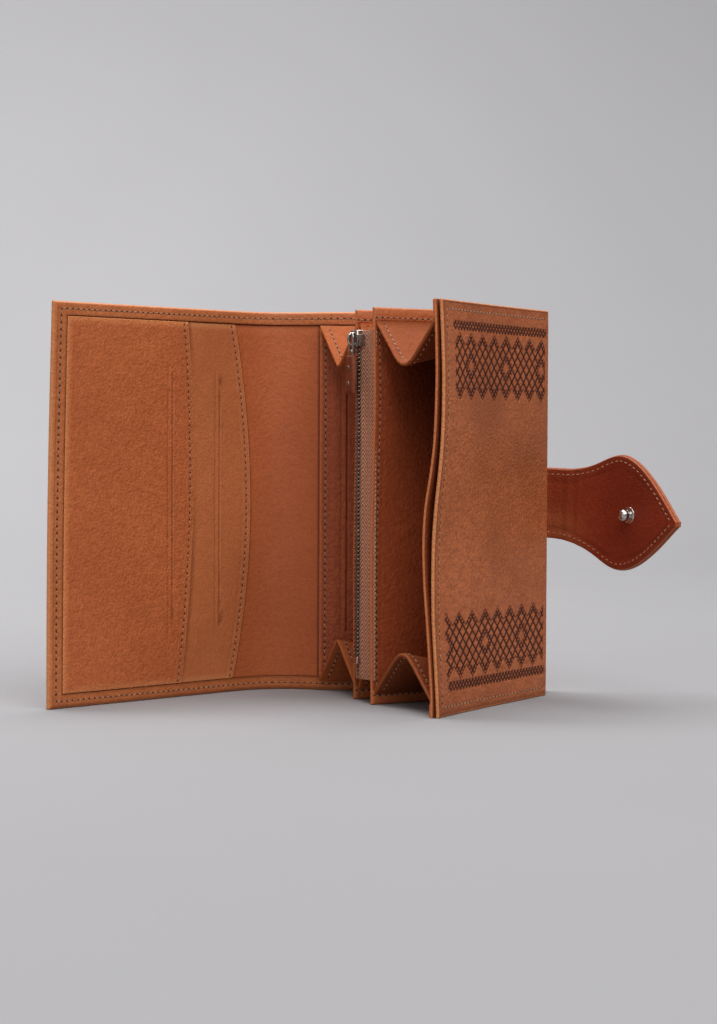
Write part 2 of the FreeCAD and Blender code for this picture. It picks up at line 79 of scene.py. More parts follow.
BACKW = (84.5, 0.0, 180.0)
ZIPL = (84.5, -3.6, 199.4)
ZIPR = (84.5, -7.8, 210.8)
FRONT = (84.5, -12.4, 238.7)
B_X, B_Y = -8.0 + 21.56 * math.cos(R(184.3)), 2.0 + 21.56 * math.sin(R(184.3))
FLAP = (B_X, B_Y, 225.3)


def wp(wall, a, side, z):
    return plan(wall[0], wall[1]) + hd(wall[2]) * a + nrm(wall[2]) * side + np.array([0, 0, z])


ML = wp(ZIPL, 74.5, 0, 0)
MR = wp(ZIPR, 74.5, 0, 0)
half = np.linalg.norm(MR - ML) / 2
wdir = unit(MR - ML)
COUT = np.array([wdir[1], -wdir[0], 0.0])
if COUT[0] > 0:
    COUT = -COUT
TOOTH = (ML + MR) / 2 + COUT * math.sqrt(9.8 ** 2 - half ** 2)
CACR = np.array([-COUT[1], COUT[0], 0.0])

TPIV = plan(88.7, 4.4, 72.5)
TAX = np.array([-math.sin(R(7.2)), 0, -math.cos(R(7.2))])
NX = rot((0, -1, 0), TAX, -44.0)
NZ = rot((0, 0, 1), TAX, -44.0)
WPIV = TPIV + NX * 29.36
EX = rot(NX, -NZ, 8.0)

# ------------------------------------------------------------------ node helpers


def srgb(r, g, b):
    f = lambda c: c / 12.92 if c <= 0.04045 else ((c + 0.055) / 1.055) ** 2.4
    return (f(r / 255), f(g / 255), f(b / 255), 1.0)


class Mat:
    def __init__(self, name):
        self.m = bpy.data.materials.new(name)
        self.m.use_nodes = True
        self.t = self.m.node_tree
        self.b = self.t.nodes["Principled BSDF"]
        self.co = self.n("ShaderNodeTexCoord").outputs["Object"]

    def n(self, kind, **kw):
        x = self.t.nodes.new(kind)
        for k, v in kw.items():
            if k in x.bl_rna.properties:
                setattr(x, k, v)
            else:
                x.inputs[k.replace("_", " ")].default_value = v
        return x

    def l(self, a, b):
        self.t.links.new(a, b)

    def noise(self, scale, detail=3.0, rough=0.55, stretch=None, dist=0.0):
        x = self.n("ShaderNodeTexNoise")
        x.inputs["Scale"].default_value = scale
        x.inputs["Detail"].default_value = detail
        x.inputs["Roughness"].default_value = rough
        x.inputs["Distortion"].default_value = dist
        self.l(self.space(stretch), x.inputs["Vector"])
        return x.outputs["Fac"]

    def space(self, stretch):
        if stretch is None:
            return self.co
        mp = self.n("ShaderNodeMapping")
        mp.inputs["Scale"].default_value = stretch
        self.l(self.co, mp.inputs["Vector"])
        return mp.outputs["Vector"]

    def voronoi(self, scale, stretch=None, feature="F1"):
        x = self.n("ShaderNodeTexVoronoi")
        x.feature = feature
        x.inputs["Scale"].default_value = scale
        self.l(self.space(stretch), x.inputs["Vector"])
        return x.outputs["Distance"]

    def ramp(self, fac, stops):
        x = self.n("ShaderNodeValToRGB")
        el = x.color_ramp.elements
        while len(el) > 1:
            el.remove(el[-1])
        el[0].position, el[0].color = stops[0]
        for p, c in stops[1:]:
            e = el.new(p)
            e.color = c
        self.l(fac, x.inputs["Fac"])
        return x.outputs["Color"]

    def mix(self, fac, a, b, mode="MIX"):
        x = self.n("ShaderNodeMix")
        x.data_type = "RGBA"
        x.blend_type = mode
        for s, v in ((x.inputs[0], fac), (x.inputs[6], a), (x.inputs[7], b)):
            if isinstance(v, (int, float)):
                s.default_value = v
            elif isinstance(v, tuple):
                s.default_value = v
            else:
                self.l(v, s)
        return x.outputs[2]

    def math(self, op, a, b=0.0):
        x = self.n("ShaderNodeMath")
        x.operation = op
        for s, v in ((x.inputs[0], a), (x.inputs[1], b)):
            if isinstance(v, (int, float)):
                s.default_value = v
            else:
                self.l(v, s)
        return x.outputs[0]

    def attr(self, name):
        x = self.n("ShaderNodeAttribute")
        x.attribute_name = name
        return x.outputs["Fac"]

    def bump(self, heights):
        """heights: list of (output, distance in metres, strength)"""
        last = None
        for h, d, s in heights:
            x = self.n("ShaderNodeBump")
            x.inputs["Strength"].default_value = s
            x.inputs["Distance"].default_value = d
            self.l(h, x.inputs["Height"])
            if last is not None:
                self.l(last, x.inputs["Normal"])
            last = x.outputs["Normal"]
        self.l(last, self.b.inputs["Normal"])


def leather(name, base, cell=1.1, strength=0.5, rough=0.52, cloud_amp=0.10, wrinkle=0.35, dark=0.62, edge=None):
    """Vegetable-tanned hide: pebbled grain, soft clouds, pull-up wrinkles, pores and lighter rubbed edges (the edge
    mask also paints a highlight on the tab lining), with a vertex mask of painted shade and darkened creaser lines.
    """
    M = Mat(name)
    c = np.array(base[:3])
    tone = lambda k, w=1.0: tuple(np.clip(c * k * np.array([1, w, w * w]), 0, 1)) + (1,)
    cloud = M.noise(16.0, 4.0, 0.55)
    col = M.ramp(cloud, [(0.32, tone(1 - cloud_amp * 1.6, 0.97)), (0.5, base), (0.70, tone(1 + cloud_amp * 1.3, 1.03))])
    cells = M.voronoi(1000.0 / cell, feature="SMOOTH_F1")
    big = M.voronoi(1000.0 / (cell * 2.3), stretch=(1, 1, 0.75))
    fine = M.noise(1900.0, 3.0, 0.6)
    speck = M.noise(620.0, 4.0, 0.62)
    wr = M.noise(210.0, 4.0, 0.6, stretch=(0.55, 0.55, 1.6), dist=1.4)
    g = strength
    col = M.mix(M.ramp(cells, [(0.38, (0, 0, 0, 1)), (0.85, (min(1.0 * g, 0.85),) * 3 + (1,))]), col, tone(0.66, 0.9))
    col = M.mix(M.ramp(speck, [(0.36, (min(0.7 * g, 0.7),) * 3 + (1,)), (0.56, (0, 0, 0, 1))]), col, tone(0.74, 0.92))
    col = M.mix(M.ramp(speck, [(0.52, (0, 0, 0, 1)), (0.76, (min(0.6 * g, 0.6),) * 3 + (1,))]), col, tone(1.28, 1.06))
    col = M.mix(M.ramp(wr, [(0.40, (min(wrinkle, 1.0),) * 3 + (1,)), (0.52, (0, 0, 0, 1))]), col, tone(0.74, 0.93))
    e = edge or tone(1.22, 1.1)
    col = M.mix(M.math("MULTIPLY", M.attr("edge"), 0.7), col, e)
    # Painted shade: a per-vertex mask darkens slit gaps, shadow lines beside rims and pocket mouths, and deep recesses;
    # it also darkens creaser lines.
    col = M.mix(M.math("MULTIPLY", M.attr("painted_shade_and_crease"), 0.85), col, tone(0.24, 0.75))
    col = M.mix(M.attr("stamp"), col, srgb(58, 20, 13))
    M.l(col, M.b.inputs["Base Color"])
    rr = M.ramp(speck, [(0.3, (rough - 0.1,) * 3 + (1,)), (0.7, (rough + 0.12,) * 3 + (1,))])
    M.l(rr, M.b.inputs["Roughness"])
    M.b.inputs["Specular IOR Level"].default_value = 0.24
    inv = M.math("SUBTRACT", 1.0, cells)
    M.bump([(inv, 0.00036, min(strength * 1.3, 1.0)), (big, 0.00022, min(strength * 0.7, 1.0)), (wr, 0.00022, wrinkle * 0.8),
            (fine, 0.00007, 0.5), (M.noise(90.0, 3.0), 0.0005, 0.22)])
    return M.m


m_outer = leather("leather_outer", srgb(186, 107, 62), 1.0, 0.5, edge=srgb(214, 140, 88))
m_pocket = leather("leather_pocket", srgb(186, 101, 58), 0.85, 0.6, rough=0.46, wrinkle=0.32, edge=srgb(214, 138, 86))
m_curved = leather("leather_smooth_card", srgb(186, 107, 64), 0.8, 0.3, wrinkle=0.2, edge=srgb(214, 142, 90))
m_lining = leather("leather_lining", srgb(178, 94, 53), 0.9, 0.35, wrinkle=0.2, cloud_amp=0.06)
m_wall = leather("leather_wall", srgb(164, 80, 45), 1.0, 0.6, wrinkle=0.4, edge=srgb(196, 118, 70))
m_gusset = leather("leather_gusset", srgb(166, 86, 42), 0.8, 0.4, rough=0.78)
m_front = leather("leather_front", srgb(179, 100, 59), 0.95, 0.74, wrinkle=0.55, cloud_amp=0.25, edge=srgb(214, 142, 92))
m_tab = leather("leather_tab", srgb(138, 52, 30), 0.8, 0.35, rough=0.46, edge=srgb(168, 92, 56), cloud_amp=0.2)
m_tab_outer = leather("leather_tab_outer", srgb(168, 92, 52), 0.9, 0.45, edge=srgb(160, 86, 50))
m_pull = leather("leather_pull", srgb(112, 54, 34), 0.7, 0.3)


def thread_mat():
    M = Mat("thread")
    w = M.noise(1400.0, 3.0, 0.6, stretch=(1, 1, 2.2))
    col = M.ramp(w, [(0.35, srgb(130, 82, 52)), (0.65, srgb(184, 134, 94))])
    M.l(col, M.b.inputs["Base Color"])
    M.b.inputs["Roughness"].default_value = 0.62
    M.b.inputs["Sheen Weight"].default_value = 0.2
    M.bump([(w, 0.00008, 0.7)])
    return M.m


# Needle holes are flat dark discs: painted shade standing in for the depth of each hole.
def hole_mat():
    M = Mat("needle_hole_shade")
    w = M.noise(900.0, 2.0)
    M.l(M.ramp(w, [(0.3, srgb(46, 20, 12)), (0.7, srgb(74, 34, 20))]), M.b.inputs["Base Color"])
    M.b.inputs["Roughness"].default_value = 0.85
    return M.m


def metal_mat(name, col, rough=0.22, tint=0.8):
    M = Mat(name)
    w = M.noise(260.0, 4.0, 0.6)
    a = tuple(np.array(col[:3]) * tint) + (1,)
    M.l(M.ramp(w, [(0.3, a), (0.65, col)]), M.b.inputs["Base Color"])
    M.b.inputs["Metallic"].default_value = 1.0
    M.l(M.ramp(M.noise(600.0, 3.0), [(0.3, (rough * 0.7,) * 3 + (1,)), (0.7, (rough * 1.5,) * 3 + (1,))]), M.b.inputs["Roughness"])
    M.bump([(M.noise(900.0, 2.0), 0.00003, 0.35)])
    return M.m


def tape_mat():
    M = Mat("zip_tape_weave")
    # herringbone: two slanted sets of ribs that swap side every 1.3 mm across the tape
    sep = M.n("ShaderNodeAttribute")
    sep.attribute_name = "across"
    up = M.n("ShaderNodeAttribute")
    up.attribute_name = "upward"
    a, u = sep.outputs["Fac"], up.outputs["Fac"]
    fold = M.math("PINGPONG", a, 1.9)
    slant = M.math("ADD", M.math("MULTIPLY", u, 1.0), M.math("MULTIPLY", fold, 1.25))
    rib = M.math("SINE", M.math("MULTIPLY", slant, 6.2832 / 1.55))
    rib01 = M.math("ADD", M.math("MULTIPLY", rib, 0.5), 0.5)
    n1 = M.noise(700.0, 3.0)
    base = M.ramp(rib01, [(0.12, srgb(134, 82, 60)), (0.45, srgb(170, 112, 84)), (0.85, srgb(198, 140, 110))])
    col = M.mix(M.ramp(n1, [(0.45, (0, 0, 0, 1)), (0.7, (0.3, 0.3, 0.3, 1))]), base, srgb(130, 78, 54))
    M.l(col, M.b.inputs["Base Color"])
    M.b.inputs["Roughness"].default_value = 0.8
    M.bump([(rib01, 0.00022, 0.9), (M.noise(1600.0, 2.0), 0.00006, 0.6)])
    return M.m


m_thread, m_hole = thread_mat(), hole_mat()
m_nickel = metal_mat("nickel", (0.66, 0.64, 0.61, 1), 0.17, 0.62)
m_snap = metal_mat("snap_steel", (0.60, 0.58, 0.56, 1), 0.15, 0.7)
m_teeth = metal_mat("tooth_nickel", (0.26, 0.23, 0.20, 1), 0.33, 0.5)
m_slider = metal_mat("slider_nickel", (0.40, 0.38, 0.35, 1), 0.22, 0.5)
m_tape = tape_mat()
m_gusset_front = leather("leather_gusset_wide", srgb(142, 71, 33), 0.9, 0.5, rough=0.78)

# ------------------------------------------------------------------ mesh helpers


def add_obj(name, verts, faces, mats, slot, smooth=True, mat_idx=None, attrs=None):
    me = bpy.data.meshes.new(name)
    v = np.asarray(verts, float) / 1000.0
    me.from_pydata([tuple(p) for p in v], [], [tuple(f) for f in faces])
    for m in (mats if isinstance(mats, (list, tuple)) else [mats]):
        me.materials.append(m)
    if mat_idx is not None:
        me.polygons.foreach_set("material_index", np.asarray(mat_idx, np.int32))
    me.polygons.foreach_set("use_smooth", [smooth] * len(me.polygons))
    for k, arr in (attrs or {}).items():
        at = me.attributes.new(k, "FLOAT", "POINT")
        at.data.foreach_set("value", np.asarray(arr, np.float32))
    me.update()
    me.validate()
    o = bpy.data.objects.new(name, me)
    bpy.context.scene.collection.objects.link(o)
    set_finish(o, slot)
    return o


def smoothstep(a, b, x):
    t = np.clip((np.asarray(x, float) - a) / (b - a), 0, 1)
    return t * t * (3 - 2 * t)


def samples(lo, hi, step, rad, extra=()):
    """Positions from lo to hi with a rounded-edge cluster at both ends."""
    k = np.array([0, 0.06, 0.22, 0.5, 1.0]) * rad
    n = max(2, int(round((hi - lo - 2 * rad) / step)))
    mid = np.linspace(lo + rad, hi - rad, n + 1)
    vals = np.concatenate([lo + k[:-1], mid, hi - k[:-1][::-1], np.asarray(list(extra), float)])
    vals = np.unique(np.round(np.clip(vals, lo, hi), 4))
    return vals


class Slab:
    """A sheet of leather with rounded cut edges, over a curved mid-surface."""

    def __init__(self, surf, left, right, b0, b1, thick, flip=1.0, step=2.0, bstep=2.0, extra_a=(), extra_b=(),
                 front=None, back=None, round_a=(True, True), round_b=(True, True)):
        self.surf, self.left, self.right, self.b0, self.b1 = surf, left, right, b0, b1
        self.t, self.flip, self.front, self.back = thick, flip, front, back
        self.round_a, self.round_b = round_a, round_b
        r = thick / 2
        self.bs = samples(b0, b1, bstep, r, extra_b)
        mid = (b0 + b1) / 2
        l, rr = float(left(mid)), float(right(mid))
        self.an = (samples(l, rr, step, r, extra_a) - l) / (rr - l)
        self.lm, self.rm = l, rr

    def grid(self):
        b = self.bs[:, None]
        L = np.vectorize(self.left)(self.bs)[:, None]
        Rr = np.vectorize(self.right)(self.bs)[:, None]
        n = self.an[None, :]
        # fixed distances near the edges, stretched in the middle
        wm = self.rm - self.lm
        dl, dr = n * wm, (1 - n) * wm
        w = Rr - L
        k = np.where(dl < dr, dl, dr)
        near = np.clip(k / (0.25 * wm), 0, 1)
        fixed = np.where(dl < dr, L + dl, Rr - dr)
        hold = (1 - near) * smoothstep(0.35, 0.65, w / wm)
        a = fixed * hold + (L + n * w) * (1 - hold)
        return a, np.broadcast_to(b, a.shape)

    def point(self, a, b):
        return self.surf(np.asarray(a, float), np.asarray(b, float))

    def normal(self, a, b):
        e = 0.05
        da = self.point(a + e, b) - self.point(a - e, b)
        db = self.point(a, b + e) - self.point(a, b - e)
        n = np.cross(da, db)
        n /= np.maximum(np.linalg.norm(n, axis=-1, keepdims=True), 1e-12)
        return n * self.flip

    def dist(self, a, b):
        L = np.vectorize(self.left)(b)
        Rr = np.vectorize(self.right)(b)
        d = []
        if self.round_a[0]:
            d.append(a - L)
        if self.round_a[1]:
            d.append(Rr - a)
        if self.round_b[0]:
            d.append(b - self.b0)
        if self.round_b[1]:
            d.append(self.b1 - b)
        out = np.full(np.shape(a), 99.0)
        for x in d:
            out = np.minimum(out, x)
        return np.maximum(out, 0)

    def top(self, a, b, lift=0.0, side=1):
        """Point on the front (side 1) or back (side -1) face, and its normal."""
        a, b = np.atleast_1d(np.asarray(a, float)), np.atleast_1d(np.asarray(b, float))
        h = np.full(a.shape, self.t / 2) + lift
        f = self.front if side > 0 else self.back
        if f is not None:
            h = h + f(a, b)
        n = self.normal(a, b)
        return self.point(a, b) + n * (h * side)[..., None], n * side

    def build(self, name, mat, slot, stamp=None, painted_shade_and_crease=None, edge_width=0.7, tint=None, painted_shade_back=None):
        a, b = self.grid()
        S, N = self.point(a, b), self.normal(a, b)
        d = self.dist(a, b)
        r = self.t / 2
        q = 1 - np.clip(d / r, 0, 1)
        H = r * np.sqrt(np.maximum(1 - q * q, 0))
        soft = np.clip(d / r, 0, 1)
        hf = self.front(a, b) * soft if self.front else 0
        hb = self.back(a, b) * soft if self.back else 0
        Fv = S + N * (H + hf)[..., None]
        Bv = S - N * (H + hb)[..., None]
        nb, na = a.shape
        idx = np.arange(nb * na).reshape(nb, na)
        same = d <= 1e-6
        extra = np.where(same, -1, 0)
        bi = np.full((nb, na), -1)
        cnt = nb * na
        keep = ~same
        bi[keep] = cnt + np.arange(keep.sum())
        bi[same] = idx[same]
        verts = np.concatenate([Fv.reshape(-1, 3), Bv[keep]])
        extra_v = []
        f1 = np.stack([idx[:-1, :-1], idx[:-1, 1:], idx[1:, 1:], idx[1:, :-1]], -1).reshape(-1, 4)
        f2 = np.stack([bi[:-1, :-1], bi[1:, :-1], bi[1:, 1:], bi[:-1, 1:]], -1).reshape(-1, 4)
        if self.flip < 0:
            f1, f2 = f1[:, ::-1], f2[:, ::-1]
        faces = [list(dict.fromkeys(map(int, f))) for f in np.concatenate([f1, f2])]
        # open ends that are not rounded are closed with a strip
        def strip(i_list, j_list, rev):
            for k in range(len(i_list) - 1):
                p, q2 = idx[i_list[k], j_list[k]], idx[i_list[k + 1], j_list[k + 1]]
                s, u = bi[i_list[k + 1], j_list[k + 1]], bi[i_list[k], j_list[k]]
                f = [int(p), int(q2), int(s), int(u)]
                f = list(dict.fromkeys(f))
                if len(f) > 2:
                    n0 = len(verts) + len(extra_v)
                    extra_v.extend(verts[i] for i in f)
                    f = list(range(n0, n0 + len(f)))
                    faces.append(f[::-1] if rev else f)
        R0 = list(range(nb))
        C0 = list(range(na))
        if not self.round_a[0]:
            strip(R0, [0] * nb, self.flip > 0)
        if not self.round_a[1]:
            strip(R0, [na - 1] * nb, self.flip < 0)
        if not self.round_b[0]:
            strip([0] * na, C0, self.flip < 0)
        if not self.round_b[1]:
            strip([nb - 1] * na, C0, self.flip > 0)
        faces = [f for f in faces if len(f) > 2]
        ed = 1 - smoothstep(0.15, edge_width, d)
        if tint is not None:
            ed = np.clip(ed + tint(a, b), 0, 1)
        st = stamp(a, b) if stamp else np.zeros_like(d)
        wo = painted_shade_and_crease(a, b) if painted_shade_and_crease else np.zeros_like(d)
        wb = painted_shade_back(a, b) if painted_shade_back else np.zeros_like(d)
        ne = len(extra_v)
        if ne:
            verts = np.concatenate([verts, np.array(extra_v)])
        at = {"edge": np.concatenate([ed.reshape(-1), ed[keep], np.zeros(ne)]),
              "stamp": np.concatenate([st.reshape(-1), np.zeros(keep.sum() + ne)]),
              "painted_shade_and_crease": np.concatenate([wo.reshape(-1), wb[keep], np.zeros(ne)])}
        return add_obj(name, verts, faces, mat, slot, attrs=at)


def const(v):
    return lambda b: v


def wall_surf(wall, off=0.0, bow=None):
    base, d, n = plan(wall[0], wall[1]), hd(wall[2]), nrm(wall[2])

    def f(a, b):
        s = off + (bow(a, b) if bow else 0.0)
        s = np.broadcast_to(s, np.shape(a))
        return base + a[..., None] * d + s[..., None] * n + np.stack([0 * a, 0 * a, b + 0 * a], -1)
    return f


# ------------------------------------------------------------------ stitching

THREADS = {}


def resample(P, N, pitch):
    P, N = np.asarray(P, float), np.asarray(N, float)
    seg = np.linalg.norm(np.diff(P, axis=0), axis=1)
    s = np.concatenate([[0], np.cumsum(seg)])
    n = max(1, int(round(s[-1] / pitch)))
    return s, n, s[-1] / n


def stitch(key, P, N, pitch=2.5, width=0.27, lift=0.0, holes=True):
    """Lay a row of saddle stitches along a path on a surface."""
    P, N = np.asarray(P, float), np.asarray(N, float)
    s, n, pitch = resample(P, N, pitch)
    off = 0.0
    g = THREADS.setdefault(key, dict(v=[], f=[], m=[]))

    def at(x):
        p = np.array([np.interp(x, s, P[:, k]) for k in range(3)])
        m = unit([np.interp(x, s, N[:, k]) for k in range(3)])
        return p, m
    ring = 6
    for i in range(n):
        x0, x1 = off + i * pitch + 0.42, off + (i + 1) * pitch - 0.42
        prof = [(0.0, -0.16, 0.45), (0.16, 0.06, 0.9), (0.5, 0.13, 1.0), (0.84, 0.06, 0.9), (1.0, -0.16, 0.45)]
        pa, _ = at(x0)
        pb, _ = at(x1)
        t = unit(pb - pa)
        base = len(g["v"])
        for fr, hgt, rs in prof:
            p, m = at(x0 + (x1 - x0) * fr)
            sidev = unit(np.cross(m, t))
            c = p + m * (hgt + lift) + sidev * (fr - 0.5) * 0.22
            for k in range(ring):
                a = 2 * math.pi * k / ring
                g["v"].append(c + sidev * math.cos(a) * width * rs + m * math.sin(a) * width * 0.62 * rs)
        for j in range(len(prof) - 1):
            for k in range(ring):
                a, b = base + j * ring + k, base + j * ring + (k + 1) % ring
                g["f"].append([a, b, b + ring, a + ring])
                g["m"].append(0)
        g["f"].append([base + k for k in range(ring)][::-1])
        g["m"].append(0)
        g["f"].append([base + (len(prof) - 1) * ring + k for k in range(ring)])
        g["m"].append(0)
    # Dark disc at each needle hole: painted shade.
    if holes:
        for i in range(n + 1):
            p, m = at(off + i * pitch)
            p2, _ = at(min(off + i * pitch + 0.2, s[-1]))
            p1, _ = at(max(off + i * pitch - 0.2, 0))
            t = unit(p2 - p1)
            sidev = unit(np.cross(m, t))
            base = len(g["v"])
            g["v"].append(p + m * (lift + 0.055))
            for k in range(8):
                a = 2 * math.pi * k / 8
                g["v"].append(p + m * (lift + 0.02) + sidev * math.cos(a) * 0.42 + t * math.sin(a) * 0.52)
            for k in range(8):
                g["f"].append([base, base + 1 + k, base + 1 + (k + 1) % 8])
                g["m"].append(1)


def stitch_on(slab, key, pts, side=1, pitch=2.5, lift=0.0, width=0.27):
    """pts: polyline in the slab's own (a, b) coordinates."""
    pts = np.asarray(pts, float)
    seg = np.linalg.norm(np.diff(pts, axis=0), axis=1)
    s = np.concatenate([[0], np.cumsum(seg)])
    n = max(2, int(s[-1] / 0.8))
    x = np.linspace(0, s[-1], n)
    a, b = np.interp(x, s, pts[:, 0]), np.interp(x, s, pts[:, 1])
    P, N = slab.top(a, b, lift, side)
    stitch(key, P, N, pitch, width)


def groove(center, width, depth, x):
    return -depth * np.exp(-((x - center) / width) ** 2)


def ride_or_blend(o, how):
    if isinstance(how, str):
        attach(o, how)
    else:
        tuple(np.array(how[2]) / 1000)
        tuple(np.array(how[3]) / 1000)
        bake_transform(o)


# ------------------------------------------------------------------ path of the cover leather


def bezier(p0, p1, p2, p3, n):
    t = np.linspace(0, 1, n)[:, None]
    return (1 - t) ** 3 * p0 + 3 * (1 - t) ** 2 * t * p1 + 3 * (1 - t) * t * t * p2 + t ** 3 * p3


fd = hd(225.3)[:2]
fn = nrm(225.3)[:2]
Bp = np.array([B_X, B_Y])
f8 = Bp + fd * 9.0 - fn * 0.1
top_pt = np.array([-14.5, 6.6])
P_path = np.concatenate([
    np.stack([np.linspace(87, 9, 60), np.full(60, 2.1)], -1)[:-1],
    bezier(np.array([9, 2.1]), np.array([1.0, 2.1]), top_pt + [9, 0.5], top_pt, 60)[:-1],
    bezier(top_pt, top_pt - [9, 0.5], f8 - fd * 9.5, f8, 60)[:-1],
    f8 + np.linspace(0, 110, 80)[:, None] * fd])
_seg = np.linalg.norm(np.diff(P_path, axis=0), axis=1)
S_path = np.concatenate([[0], np.cumsum(_seg)])
A_MID = float(np.interp(0, -(P_path[:200, 0] - P_path[:200, 0]), S_path[:200]))
i_mid = int(np.argmin(np.abs(P_path[:, 0] - (-18.5)) + (P_path[:, 1] < 0) * 99))
A_MID = float(S_path[i_mid])
A_P1 = 87.0
i_f = int(np.argmin(np.linalg.norm(P_path - f8, axis=1)))
A_FLAP0 = float(S_path[i_f]) - 9.0          # path position of the flap hinge (u = 0)


def cover_surf(off):
    def f(a, b):
        x = np.interp(a, S_path, P_path[:, 0])
        y = np.interp(a, S_path, P_path[:, 1])
        e = 0.8
        dx = np.interp(a + e, S_path, P_path[:, 0]) - np.interp(a - e, S_path, P_path[:, 0])
        dy = np.interp(a + e, S_path, P_path[:, 1]) - np.interp(a - e, S_path, P_path[:, 1])
        ln = np.maximum(np.hypot(dx, dy), 1e-9)
        nx, ny = -dy / ln, dx / ln
        u = a - A_FLAP0
        lean = -0.9 * np.clip(u / 92, 0, 1) ** 2 * np.sin(np.pi * np.clip(b / TALL, 0, 1))
        o = off + lean
        return np.stack([x + nx * o - OX, y + ny * o - OY, b + 0 * a], -1)
    return f


HA = ("back", "spine", plan(-1.5, 2, 72), plan(-14.5, 2, 72))
_hb0 = plan(B_X + 5.0, B_Y + 0.4, 72)
_hb1 = _hb0 + np.array([fd[0], fd[1], 0]) * 12.0
HB = ("spine", "flap", plan(B_X + 6.5, B_Y + 1.2, 72), plan(B_X - 5.2, B_Y - 5.5, 72))
FREE = A_FLAP0 + 92.3
RIM = 5.0


def free_edge(b):
    return FREE + 1.2 - 2.4 * (b / TALL)


RIMF = 5.8          # the free edge has a wider turned border than the long sides


def rim_cover(free):
    def f(a, b):
        d = np.minimum(b, TALL - b)
        if free:
            d = np.minimum(d, np.vectorize(free_edge)(b) - a - RIMF + RIM)
        k = smoothstep(RIM - 0.1, RIM + 0.25, d)
        h = 0.35 * (1 - k) - 1.1 * k
        h = h - 0.10 * np.exp(-((d - 2.6) / 0.55) ** 2)       # seam pulled in by the thread
        h = h - 0.10 * np.exp(-((d - 0.9) / 0.25) ** 2)       # creaser line
        return h
    return f


# Painted shadow line along the inner edge of the raised border, where the panels sit lower, plus a darkened creaser
# line near the outer edge.
def rim_shadow_and_creaser(free):
    def f(a, b):
        d = np.minimum(b, TALL - b)
        if free:
            d = np.minimum(d, np.vectorize(free_edge)(b) - a - RIMF + RIM)
        return np.clip(1.0 * np.exp(-((d - RIM - 0.12) / 0.5) ** 2) + 0.4 * np.exp(-((d - 0.9) / 0.22) ** 2), 0, 1)
    return f


near_rim = [RIM - 0.35, RIM - 0.1, RIM + 0.08, RIM + 0.25, RIM + 0.6, 0.7, 0.9, 1.1, 2.1, 2.6, 3.1, 4.0]
eb = near_rim + [TALL - x for x in near_rim]
cover_a = Slab(cover_surf(0), const(0.0), const(A_MID), 0, TALL, 2.2, flip=-1.0, step=2.2, bstep=2.6, extra_b=eb,
               front=rim_cover(False), round_a=(True, False))
o = cover_a.build("cover_back_spine", m_outer, "outer_leather", painted_shade_and_crease=rim_shadow_and_creaser(False))
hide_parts("back_outer", "spine_outer")
ride_or_blend(o, HA)
ef = [FREE - (RIMF - RIM) - x for x in near_rim]
cover_b = Slab(cover_surf(0), const(A_MID), free_edge, 0, TALL, 2.2, flip=-1.0, step=2.2, bstep=2.6, extra_b=eb,
               extra_a=ef, front=rim_cover(True), round_a=(False, True))
o = cover_b.build("cover_flap", m_outer, "outer_leather", painted_shade_and_crease=rim_shadow_and_creaser(True))
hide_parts("flap_outer")
ride_or_blend(o, HB)
# rim stitches on the inside and the same row showing outside
for side, lift in ((1, 0.0), (-1, 0.0)):
    for z in (2.6, TALL - 2.6):
        stitch_on(cover_a, "HA", [(2.0, z), (A_MID, z)], side, lift=lift)
    stitch_on(cover_b, "HB", [(A_MID, TALL - 2.6), (free_edge(TALL) - 3.0, TALL - 2.6), (free_edge(0) - 3.0, 2.6), (A_MID, 2.6)],
              side, lift=lift)

# lining
def curve_left(b):
    return A_FLAP0 - 3.0 + (7.7 * ((b - 71) / 68.6) ** 2 if b > 71 else 8.3 * ((71 - b) / 66.0) ** 2)


# Painted shadow line on the flap lining beside the curved pocket's edge.
near_curve = lambda a, b: 0.75 * np.exp(-((np.vectorize(curve_left)(b) - a - 0.15) / 0.42) ** 2)
lin_a = Slab(cover_surf(0.18), const(2.5), const(A_MID), RIM + 0.15, TALL - RIM - 0.15, 0.75, flip=-1.0, step=3, bstep=4, round_a=(True, False), extra_a=[86.4, 86.8, 87.1, 87.4, 87.7, 88.0, 88.4])
# Painted shadow line on the lining beside the back card pocket's mouth edge, and painted shade under and next to that
# pocket.
o = lin_a.build("lining_back_spine", m_lining, "lining_leather", painted_shade_and_crease=lambda a, b: 0.8 * np.exp(-((a - 87.5) / 0.5) ** 2) + 0.25 * smoothstep(88, 84, a) + 0 * b)
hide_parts("back_lining", "spine_lining")
ride_or_blend(o, HA)
lin_b = Slab(cover_surf(0.18), const(A_MID), lambda b: free_edge(b) - RIMF - 0.15, RIM + 0.15, TALL - RIM - 0.15, 0.75, flip=-1.0, step=0.5, bstep=4, round_a=(False, True))
o = lin_b.build("lining_flap", m_lining, "lining_leather", painted_shade_and_crease=near_curve)
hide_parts("flap_lining")
ride_or_blend(o, HB)


def slit_h(at, z0, z1, depth=0.4):
    def f(a, b):
        inside = smoothstep(z0 - 0.4, z0 + 0.4, b) * (1 - smoothstep(z1 - 0.4, z1 + 0.4, b))
        near = smoothstep(z0 - 2.5, z0 - 0.5, b) * (1 - smoothstep(z1 + 0.5, z1 + 2.5, b))
        d = a - at
        lip = 0.1 * np.exp(-((np.abs(d) - 0.8) / 0.4) ** 2) * near
        crease = -0.14 * np.exp(-((d - 2.3) / 0.26) ** 2) * near
        return -depth * np.exp(-(d / 0.28) ** 4) * inside + lip + crease
    return f


